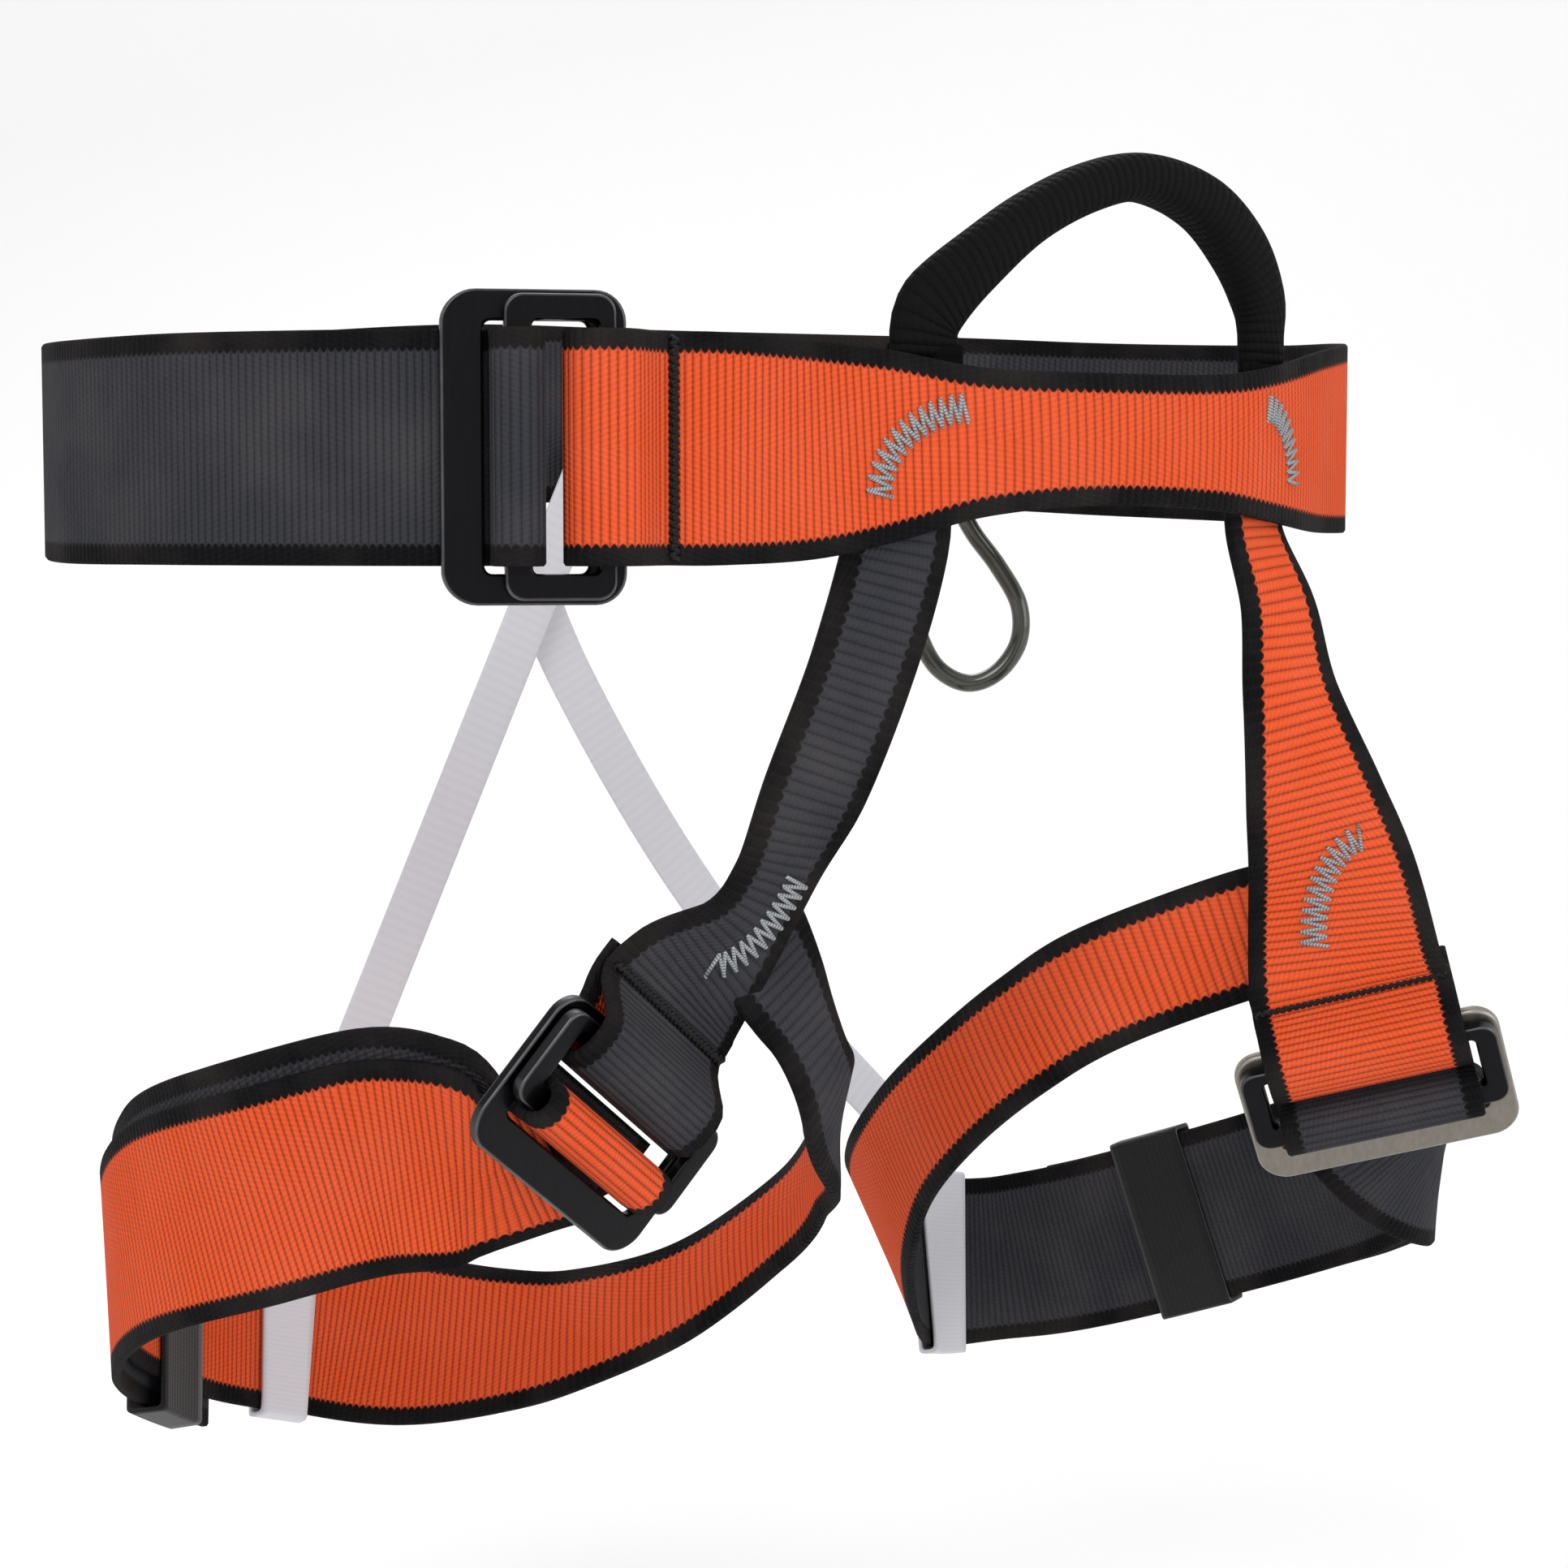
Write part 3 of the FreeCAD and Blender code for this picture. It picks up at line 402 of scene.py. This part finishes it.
# the strap's turn over the frame's outer bar, (u, n): up through the window, over, and down
FOLD = [(13.0, 2.7), (13.0, 6.5), (13.0, 10.2), (14.2, 13.1), (17.1, 14.3), (20.0, 13.1), (21.2, 10.2),
        (21.2, 7.6), (21.2, 5.4)]


def buckle(name, place, body, fold_out, plate_alloy):
    plate = flat_ring(name + "_rear", place, rounded(-4.0, 33.0, 30.0, 6.0, 2.2),
                      rounded(3.4, 23.4, 24.0, 1.6), 5.4, 7.7, 0.2)
    put(plate, plate_alloy, body, [name + "_rear_plate"])
    ring = flat_ring(name + "_front", place, rounded(-1.6, 19.8, 29.0, 3.5),
                     rounded(1.6, 14.5, 24.0, 1.2), 8.4, 11.2, 0.2)
    put(ring, black_alloy, name + "_frame", [name + "_front_frame"])
    fold = Band([place.row(u, n) for u, n in FOLD], place.at(17, 40), flip=fold_out, step=1.2)
    put(fold.mesh(name + "_fold"), webbing, name + "_frame", [name + "_strap_fold"])


right_place = Place((-67, -67, -123), (-0.63, 0.106, -0.77), (0.185, -0.942, -0.281))
left_place = Place((111, -93, -128), (0.48, 0.207, -0.853), (-0.507, -0.728, -0.462))
buckle("waist", waist_place, "waist", False, black_alloy)
buckle("right_leg", right_place, "right_leg", True, black_alloy)
# the left leg's rear plate carries the painted reflection
buckle("left_leg", left_place, "left_leg", False, reflection_painted_alloy)

# ==== Risers ===============================================================================
# Two bands of the same webbing, gathered narrow under the belt and full width at the sewn
# eyes of the leg buckles.  They are sewn flat behind the belt and bend just below it.
SEWN = list(reversed(EYE))
BEHIND = -3.4  # from the waist ring to the middle of the first layer sewn behind the belt


def riser(name, angle, tab_high, top, width, rows, place, away_from, flip, nodes):
    points = []
    for z in (tab_high, (tab_high + top) / 2, top + 3):
        p, _, travel = on_ring(angle, z, BEHIND)
        points.append([*p, *travel, width])
    band = Band(points + rows + [place.row(-19, 4.0, width=43)]
                + [place.row(u, n) for u, n in SEWN], away_from, flip)
    piece = put(band.mesh(name), webbing, nodes=nodes)
    x, y = on_ring(angle, 0, BEHIND)[0][:2] * MM
    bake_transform(piece)
    return band


right_riser = riser("right_riser_webbing", -7, 10, -22, 24, [
    [-25, -94, -44, 0.95, -0.25, 0.2, 22.5],
    [-33, -88, -70, 0.97, -0.2, 0, 22.5],
    [-36.5, -80, -86, 0.97, 0.05, -0.2, 20.5],
    [-42.5, -76, -98, 0.94, 0.08, -0.32, 23.5],
], right_place, (-60, 0, -100), True, ["right_riser", "right_riser_tab", "right_leg_sewn_eye"])
left_riser = riser("left_riser_webbing", 35, 12, -18.8, 26, [
    [92, -85, -33, 0.93, 0.1, 0, 23],
    [94, -87, -52, 0.93, -0.15, 0, 24],
    [99, -90, -76, 0.87, -0.4, 0.1, 32],
    [102, -93, -94, 0.8, -0.55, 0.15, 38],
], left_place, (115, 0, -100), False, ["left_riser", "left_riser_tab", "left_leg_sewn_eye"])

# ==== Leg straps ===========================================================================
# Sewn behind the risers, narrow on the inner thigh and full width round the outside, then
# doubled back through the buckles.  The right one is turned charcoal side out.
RIGHT = [
    [-39, -71.6, -96, 0.8, -0.15, 0.55, 25], [-26, -70, -115, 0.95, 0.28, 0, 24],
    [-17, -69, -133, 0.82, 0.55, 0, 24], [-5, -52, -148, 0.53, 0.85, 0, 24],
    [8, -28, -160, 0.4, 0.85, 0.3, 24], [14, -2, -177, 0.3, 0.8, 0.45, 26],
    [5, 30, -200, 0.25, 0.75, 0.6, 28], [-11, 56, -213, 0.3, 0.6, 0.75, 33],
    [-24, 71, -217, 0.3, 0.5, 0.8, 38], [-43, 85, -217, 0.2, 0.4, 0.9, 43],
    [-65, 93, -212, 0.1, 0.4, 0.9, 45], [-94, 86, -202, 0, 0.3, 0.95, 45],
    [-120, 64, -186, 0, 0.2, 1, 45], [-133, 38, -172, 0, 0.1, 1, 45],
    [-136, 10, -158, 0, 0, 1, 45], [-127, -20, -147, -0.1, 0, 1, 45],
    [-107, -38, -139.5, -0.1, 0, 1, 45], [-96, -52.5, -139.5, -0.25, -0.1, 0.95, 45],
]
LEFT = [
    [104.2, -91.5, -103, 0, 0, 1, 29], [91, -80, -106, 0, 0, 1, 29], [69, -53, -120, 0, 0.1, 1, 29],
    [60, -34, -133, 0, 0.3, 0.95, 29], [55, -13, -149, 0, 0.5, 0.85, 30],
    [55, 8, -166, 0, 0.6, 0.8, 33], [64, 32, -186, -0.1, 0.6, 0.8, 38],
    [84, 58, -204, -0.2, 0.4, 0.9, 42], [108, 75, -214, -0.1, 0.2, 1, 45],
    [130, 72, -215, 0, 0, 1, 45], [144, 55, -210, 0, 0, 1, 45], [158, 32, -201, 0, 0, 1, 45],
    [170, 8, -191, 0, 0, 1, 45], [176, -18, -180, 0, 0, 1, 45], [170, -45, -169, 0, 0, 1, 45],
    [156, -67, -165, 0.1, -0.1, 1, 45],
]
# how the strap comes up under each buckle
RIGHT += [right_place.row(26, -3.4, -2.5, side=(-0.66, -0.32, 0.66))]
RIGHT += [right_place.row(u, n, side=-right_place.v) for u, n in ((19, 0.6), (11.9, 1.1), (8.6, 1.1))]
LEFT += [left_place.row(42, -10, 5, side=(0.4, -0.4, 0.8))]
LEFT += [left_place.row(28, -2.6, 1, side=(0.68, -0.62, 0.35))]
LEFT += [left_place.row(u, n) for u, n in ((20, 0.6), (11.9, 1.1), (8.6, 1.1))]


def leg_strap(side, rows, centre, flip, drop, length):
    """The strap, and its free end laid over it from the buckle to just past the keeper."""
    under_bar, settle = 13.3, 45
    body = side + "_leg"
    strap = Band(rows, centre, flip)
    piece = put(strap.mesh(side + "_strap_webbing"), webbing, body, [side + "_leg_strap"])
    outward = -1.0 if flip else 1.0
    over = []
    for back in np.linspace(under_bar, length + 3.3, 22):
        s = strap.s[-1] - back
        lift = LAYER + 0.4 * min(1.0, (back - under_bar) / settle)
        p, _ = strap.at(s, drop * min(1.0, back / settle), outward * lift)
        k = int(np.argmin(abs(strap.s - s)))
        over.append([*p, *strap.side[k], WEB])
    free = Band(over, centre, not flip)
    end = put(free.mesh(side + "_tail_webbing"), webbing, body, [side + "_leg_tail"])
    return strap


right_strap = leg_strap("right", RIGHT, (-60, 0, -160), True, -6.0, 214)
left_strap = leg_strap("left", LEFT, (115, 0, -170), False, 0.0, 202)

# ==== Keepers, bands and rear elastics ======================================================
# Black elastic keepers hold the free ends.  Light grey elastic bands slide on the straps, and
# a flat elastic runs from each to behind the belt; the two cross just below it.


def elastic(name, colour, groove_shade, pitch, depth):
    shade = Shade(name, Sheen_Weight=0.2, Specular_IOR_Level=0.3)
    run, inset = shade.weave()
    rib = (inset * (math.pi / pitch)).sin().abs()
    pick = ((run * math.pi * 2.0).sin() + 1.0) * 0.5
    fibre = shade.noise(2400.0, 2.0)
    # Painted shade: darker between the ribs and picks, mixed with random fibre tone.
    rib_shade_and_fibre = ((1.0 - rib) ** 2.0) * depth + (1.0 - pick) * 0.16 + (fibre - 0.5) * 0.3
    return shade.finish(Base_Color=shade.mix(rib_shade_and_fibre.clamp(), colour, groove_shade), Roughness=0.7 + fibre * 0.25,
                        Normal=shade.bump(rib * (1.7 * depth) + pick * 0.4, 0.00012, 0.7))


black_elastic = elastic("keeper_elastic", (0.008, 0.008, 0.009, 1.0), (0.002, 0.002, 0.002, 1.0), 1.4, 0.4)
white_elastic = elastic("white_elastic", (0.60, 0.60, 0.64, 1.0), (0.44, 0.44, 0.48, 1.0), 1.0, 0.0)


def sleeve(name, strap, spot, wide, near, far, low, high):
    """Tube of elastic that hugs the strap: a rounded loop in (side, out), bent with the strap."""
    wall, rib_pitch = 0.9, 1.1
    s0 = strap.nearest(spot)
    loop = rounded(low, high, (far - near) / 2, 1.2)
    middle = (near + far) / 2
    around = [(v + middle, n) for n, v in loop]
    centre = (low + high) / 2
    rings, run = [], [0.0]
    spans = np.linspace(-wide / 2, wide / 2, 9)
    for v, n in around:
        lift = wall * np.sign(n - centre)
        push = wall * (1 if v > middle else -1) * (abs(v - middle) > (far - near) / 2 - 1.3)
        outer = [strap.at(s0 + a, v + push, n + lift)[0] for a in spans]
        inner = [strap.at(s0 + a, v, n)[0] for a in spans[::-1]]
        rings.append(outer + inner)
    rings = np.array(rings)
    for a, b in zip(rings, np.roll(rings, -1, axis=0)):
        run.append(run[-1] + np.linalg.norm(a[0] - b[0]) / rib_pitch)
    inset = [wide / 2 - abs(a) for a in spans]
    wall_pairs = list(zip(inset, inset[1:])) + [(0, 0)]
    return skin(name, rings, run, [wall_pairs * 2] * len(rings), closed=True)


def keeper(side, strap, spot, near, far, flip):
    low, high = (-5.9, 1.7) if flip else (-1.7, 5.9)
    piece = sleeve(side + "_keeper_elastic", strap, spot, 20.0, near, far, low, high)
    put(piece, black_elastic, side + "_keeper", [side + "_leg_keeper"])


keeper("right", right_strap, (-106, 78, -195), -29.5, 23.3, True)
keeper("left", left_strap, (158, 32, -201), -23.4, 23.4, False)


def rear_elastic(side, strap, spot, angle, off, bow):
    """The band round the strap, and the flat elastic that rises from its upper edge."""
    band = sleeve(side + "_band", strap, spot, 15.0, -23.6, 23.6, -1.9, 1.9)
    put(band, white_elastic, side + "_leg", [side + "_elastic_band"])
    top = on_ring(angle, 4.0, off)[0]
    k = int(np.argmin(np.linalg.norm(strap.p - np.array(spot), axis=1)))
    out = strap.out[k] * np.sign(np.dot(strap.out[k], (0, 1, 0)))
    foot = strap.p[k] + strap.side[k] * 25.0 - out * 1.0
    rows = []
    for f in (0.0, 0.06, 0.3, 0.65, 1.0):
        p = top * (1 - f) + foot * f + np.array([-1.6, 1.0, 0.0]) * (bow * f * (1 - f))
        rows.append([*p, 1, 0, 0, 12.5])
    strip = Band(rows, (0, 0, -100))
    piece = strip.mesh(side + "_elastic", thick=1.0, crown=False)
    put(piece, white_elastic, nodes=[side + "_rear_elastic"])
    low = foot[2] * MM
    low + 0.01
    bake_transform(piece)


rear_elastic("right", right_strap, (-72, 92, -210), 173.5, -5.9, 0)
rear_elastic("left", left_strap, (112, 76, -214), 183.5, -3.2, 42)

# ==== Tie-in loop ==========================================================================
# Black ribbed webbing folded round a core into a stiff arch.  Its flat ends are sewn behind
# the belt's upper edge, so it stands up and can fold outward.
black = Shade("black_webbing", Specular_IOR_Level=0.1)
ribs, turn = black.weave()
crest = (ribs * math.pi).sin().abs()
warp = ((turn * 150.0 + ribs * math.pi).sin() + 1.0) * 0.5
fibre = black.noise(2600.0, 2.0)
# Painted shade in the grooves between the ribs and along the warp, mixed with random fibre tone.
groove_shade = (((1.0 - crest) ** 2.0) * 0.7 + (1.0 - warp) * 0.15 + (fibre - 0.5) * 0.4).clamp()
black_webbing = black.finish(
    Base_Color=black.mix(groove_shade, (0.003, 0.003, 0.0035, 1.0), (0.001, 0.001, 0.001, 1.0)),
    Roughness=0.70 + fibre * 0.25, Normal=black.bump(crest ** 0.7 + warp * 0.25, 0.0005, 0.9))

# (share of the span, height above the roots, width in the arch's plane, thickness)
ARCH = [
    (0.00, -4.0, 19, 3.0), (0.00, 0.4, 19, 4.5), (0.01, 4.5, 18, 5), (0.05, 9, 16, 6.5), (0.14, 16, 13.5, 8),
    (0.29, 26, 11, 10), (0.46, 33.5, 10.5, 11), (0.62, 36.6, 10.5, 11.5), (0.80, 32.5, 12.5, 11.5),
    (0.925, 23, 14.5, 10.5), (0.99, 12.5, 14.5, 8.5), (1.00, 5, 14, 6), (1.00, 0.4, 15, 4.5),
    (1.00, -4.0, 15, 3.0),
]
RIGHT_ROOT = -4  # degrees round the waist ring
LEFT_ROOT = 38.5
FACETS = 28
SQUARED = 2.6  # 2 makes the section an ellipse, more makes it squarer
root = on_ring(RIGHT_ROOT, 23.0, BEHIND - LAYER)[0]
span = on_ring(LEFT_ROOT, 23.0, BEHIND - LAYER)[0] - root
arch_along = unit(span)
arch_out = np.cross(arch_along, UP)
spine = dense([[*(root + span * f + np.array([0, 0, h])), w, t] for f, h, w, t in ARCH], 1.6)
heading = unit(np.gradient(spine[:, :3], axis=0))
rings = []
for p, ahead, (wide, deep) in zip(spine[:, :3], heading, spine[:, 3:]):
    across = np.cross(arch_out, ahead)
    ring = []
    for k in range(FACETS):
        t = math.tau * k / FACETS
        c, s = math.cos(t), math.sin(t)
        reach = (abs(c) ** SQUARED + abs(s) ** SQUARED) ** (-1 / SQUARED)
        ring.append(p + across * (wide / 2 * c * reach) + arch_out * (deep / 2 * s * reach))
    rings.append(ring)
length = run_along(spine[:, :3])
turns = [[(k / FACETS, (k + 1) / FACETS) for k in range(FACETS)]] * len(rings)
tie_in = skin("tie_in_webbing", np.array(rings), length / 2.3, turns)
put(tie_in, black_webbing, "tie_in", ["tie_in_loop"])


def tab(name, angle, width, low, high, off, node):
    """Flat end sewn behind the belt."""
    rows = []
    for z in (high, (high + low) / 2, low):
        p, _, travel = on_ring(angle, z, off)
        rows.append([*p, *travel, width])
    band = Band(rows, (0, 0, 0))
    put(band.mesh(name, crown=False), black_webbing, "waist", [node])


tab("right_tie_in_end", RIGHT_ROOT, 18, -8, 21.6, BEHIND - LAYER, "right_tie_in_tab")
tab("left_tie_in_end", LEFT_ROOT, 16, -8, 21.6, BEHIND - LAYER, "left_tie_in_tab")

# ==== Gear loop ============================================================================
# A drop-shaped loop of glossy dark tube, hung from two small webbing ends behind the belt's
# left rear, and free to swing outward.


def tube(name, points, radius, sides):
    """Round rod along points in mm, its sections carried along without twist."""
    points = np.array(points)
    ahead = unit(np.gradient(points, axis=0))
    first = [unit(np.cross(ahead[0], (0.31, 0.52, 0.79)))]
    for direction in ahead[1:]:
        first.append(unit(first[-1] - direction * np.dot(first[-1], direction)))
    first = np.array(first)
    second = np.cross(ahead, first)
    turn = np.arange(sides) * math.tau / sides
    rings = (points[:, None] + first[:, None] * (radius * np.cos(turn))[None, :, None]
             + second[:, None] * (radius * np.sin(turn))[None, :, None])
    run = run_along(points)
    share = [[(k / sides, (k + 1) / sides) for k in range(sides)]] * len(points)
    return skin(name, rings, run, share)


GEAR = [(7, -2.0), (10, -7), (16, -15), (21.5, -25), (21.5, -35), (16, -43), (8, -46), (0, -42), (-5, -33),
        (-8, -20), (-10, -7), (-10, -2.0)]
gear_spot, gear_out, gear_along = on_ring(136, -11.0)
line = dense([[*(gear_spot - gear_along * x + np.array([0, 0, y]))] for x, y in GEAR], 1.2)
gloss = Shade("tube", Coat_Weight=0.6, Coat_Roughness=0.08, IOR=1.5)
mottle = gloss.noise(120.0)
gear_black = gloss.finish(
    Base_Color=gloss.mix(mottle, (0.012, 0.013, 0.009, 1.0), (0.035, 0.038, 0.026, 1.0)),
    Roughness=0.16 + mottle * 0.14, Normal=gloss.bump(mottle, 0.0001, 0.3))
put(tube("gear_loop_tube", line, 2.4, 20), gear_black, "gear", ["gear_loop"])
for name, x in (("gear_loop_front_tab", 7), ("gear_loop_rear_tab", -10)):
    rows = []
    for z in (8.0, 3.5, -1.0):
        p = gear_spot - gear_along * x + gear_out * (BEHIND - 0.9) + np.array([0, 0, z])
        rows.append([*p, *gear_along, 8])
    end = Band(rows, (0, 0, 0)).mesh(name + "_end", crown=False)
    put(end, black_webbing, "waist", [name])

# ==== Stitching ============================================================================
# Dense zigzag bar tacks of silver grey thread where bands are sewn together, and a black
# zigzag line across the webbing where each sewn eye closes.


def thread(name, colour, dark):
    shade = Shade(name, Specular_IOR_Level=0.25)
    run, turn = shade.weave()
    twist = ((run * 9.0 + turn * math.tau).sin() + 1.0) * 0.5
    return shade.finish(Base_Color=shade.mix(twist, dark, colour), Roughness=0.5 + twist * 0.2,
                        Normal=shade.bump(twist, 0.0001, 0.6))


silver_thread = thread("silver_thread", (0.40, 0.42, 0.43, 1.0), (0.13, 0.14, 0.15, 1.0))
black_thread = thread("black_thread", (0.010, 0.010, 0.011, 1.0), (0.002, 0.002, 0.002, 1.0))


def zigzag(name, line, width, pitch, radius):
    """One thread back and forth across a line of (point, outward) pairs, in mm."""
    points = np.array([p for p, _ in line])
    outward = np.array([o for _, o in line])
    s = run_along(points)
    stitches = []
    for k, run in enumerate(np.arange(0.0, s[-1], pitch / 2)):
        p = np.array([np.interp(run, s, points[:, i]) for i in range(3)])
        q = np.array([np.interp(run + 0.5, s, points[:, i]) for i in range(3)])
        q = q if run + 0.5 < s[-1] else p + (p - stitches[-1]) * 0.01 + (points[-1] - points[-2])
        out = np.array([np.interp(run, s, outward[:, i]) for i in range(3)])
        sideways = unit(np.cross(out, q - p))
        side = 1 if k % 2 else -1
        stitches.append(p + sideways * (side * (width / 2 - 0.2)) + out * 0.05)
        stitches.append(p + sideways * (side * width / 2) - out * 0.25)
    return tube(name, stitches, radius, 6)


def bar_tack(name, band, spot, run, rise, start, flip, body, node):
    """Quarter arc that leaves straight across the band and ends running along it."""
    s0 = band.nearest(spot)
    line = []
    for k in range(25):
        t = math.radians(90 * k / 24)
        s, v = s0 + run * (1 - math.cos(t)), start + rise * math.sin(t)
        side = -1.0 if flip else 1.0
        p, out = band.at(s, v, side * (band.top(s, v) + 0.25))
        line.append((p, out * side))
    piece = zigzag(name, line, width=6.0, pitch=2.3, radius=0.46)
    put(piece, silver_thread, body, [node])


bar_tack("right_belt_stitches", belt, on_ring(-9.5)[0], 22, 17, -10, False, "waist", "right_belt_tack")
bar_tack("left_belt_stitches", belt, on_ring(38.8, 4)[0], -15, 17, -9, False, "waist", "left_belt_tack")
bar_tack("right_riser_stitches", right_riser, (-48, -75, -105), -25, 5, -1, True, "right_leg",
         "right_riser_tack")
bar_tack("left_riser_stitches", left_riser, (101, -92, -87), 24, -14, 8, False, "left_leg",
         "left_riser_tack")
for name, place in (("waist", waist_place), ("right_leg", right_place), ("left_leg", left_place)):
    line = [(place.at(-13.6, 5.1, v), place.n) for v in np.linspace(-21.5, 21.5, 12)]
    seam = zigzag(name + "_closing_stitches", line, width=1.9, pitch=1.5, radius=0.55)
    put(seam, black_thread, name, [name + "_eye_stitch"])

# ==== Studio ===============================================================================
# Pale seamless floor that curves up behind, two soft boxes and an even sky.
FLOOR = -0.32
BEND_START = 1.2
BEND_RADIUS = 0.9
profile = [(-3.0, FLOOR), (BEND_START, FLOOR)]
for degrees in range(6, 91, 6):
    a = math.radians(degrees)
    profile.append((BEND_START + BEND_RADIUS * math.sin(a), FLOOR + BEND_RADIUS * (1 - math.cos(a))))
profile.append((BEND_START + BEND_RADIUS, 4.0))
turned = math.radians(32.0)
corners = []
for y, z in profile:
    for x in (-4.0, 4.0):
        corners.append((x * math.cos(turned) + y * math.sin(turned),
                        -x * math.sin(turned) + y * math.cos(turned), z))
sweep = bpy.data.meshes.new("floor")
sweep.from_pydata(corners, [], [(2 * i, 2 * i + 1, 2 * i + 3, 2 * i + 2) for i in range(len(profile) - 1)])
for polygon in sweep.polygons:
    polygon.use_smooth = True
floor = bpy.data.objects.new("floor", sweep)
bpy.context.scene.collection.objects.link(floor)
paper = Shade("paper")
tone = paper.noise(3.0)
pale = paper.mix(tone, (0.87, 0.87, 0.87, 1.0), (0.89, 0.89, 0.89, 1.0))
sweep.materials.append(paper.finish(Base_Color=pale, Roughness=0.8 + tone * 0.1))


def softbox(name, spot, aim, size, power):
    light = bpy.data.lights.new(name, "AREA")
    light.shape = "RECTANGLE"
    light.size, light.size_y = size
    light.energy = power
    lamp = bpy.data.objects.new(name, light)
    lamp.location = spot
    lamp.rotation_euler = (Vector(aim) - Vector(spot)).to_track_quat("-Z", "Y").to_euler()
    bpy.context.scene.collection.objects.link(lamp)


softbox("key", (-1.6, -1.3, 1.3), (0, 0, -0.08), (1.2, 1.2), 20)
softbox("fill", (1.0, -1.9, 0.5), (0, 0, -0.1), (1.4, 1.4), 13)
softbox("back", (0.4, 1.2, 1.2), (0, 0, -0.05), (1.0, 1.0), 8)
world = bpy.data.worlds.new("sky")
world.use_nodes = True
world.node_tree.nodes["Background"].inputs["Color"].default_value = (1.0, 1.0, 1.0, 1.0)
world.node_tree.nodes["Background"].inputs["Strength"].default_value = 0.85
bpy.context.scene.world = world
bpy.context.scene.view_settings.view_transform = "Standard"

lens = bpy.data.cameras.new("camera")
lens.lens = 74.9
lens.sensor_width = 36.0
camera = bpy.data.objects.new("camera", lens)
camera.location = (-0.3864, -0.6429, -0.014)
pitch = math.radians(-4.6)
ahead = Vector((0.53 * math.cos(pitch), 0.848 * math.cos(pitch), math.sin(pitch)))
camera.rotation_euler = ahead.to_track_quat("-Z", "Y").to_euler()
bpy.context.scene.collection.objects.link(camera)
bpy.context.scene.camera = camera
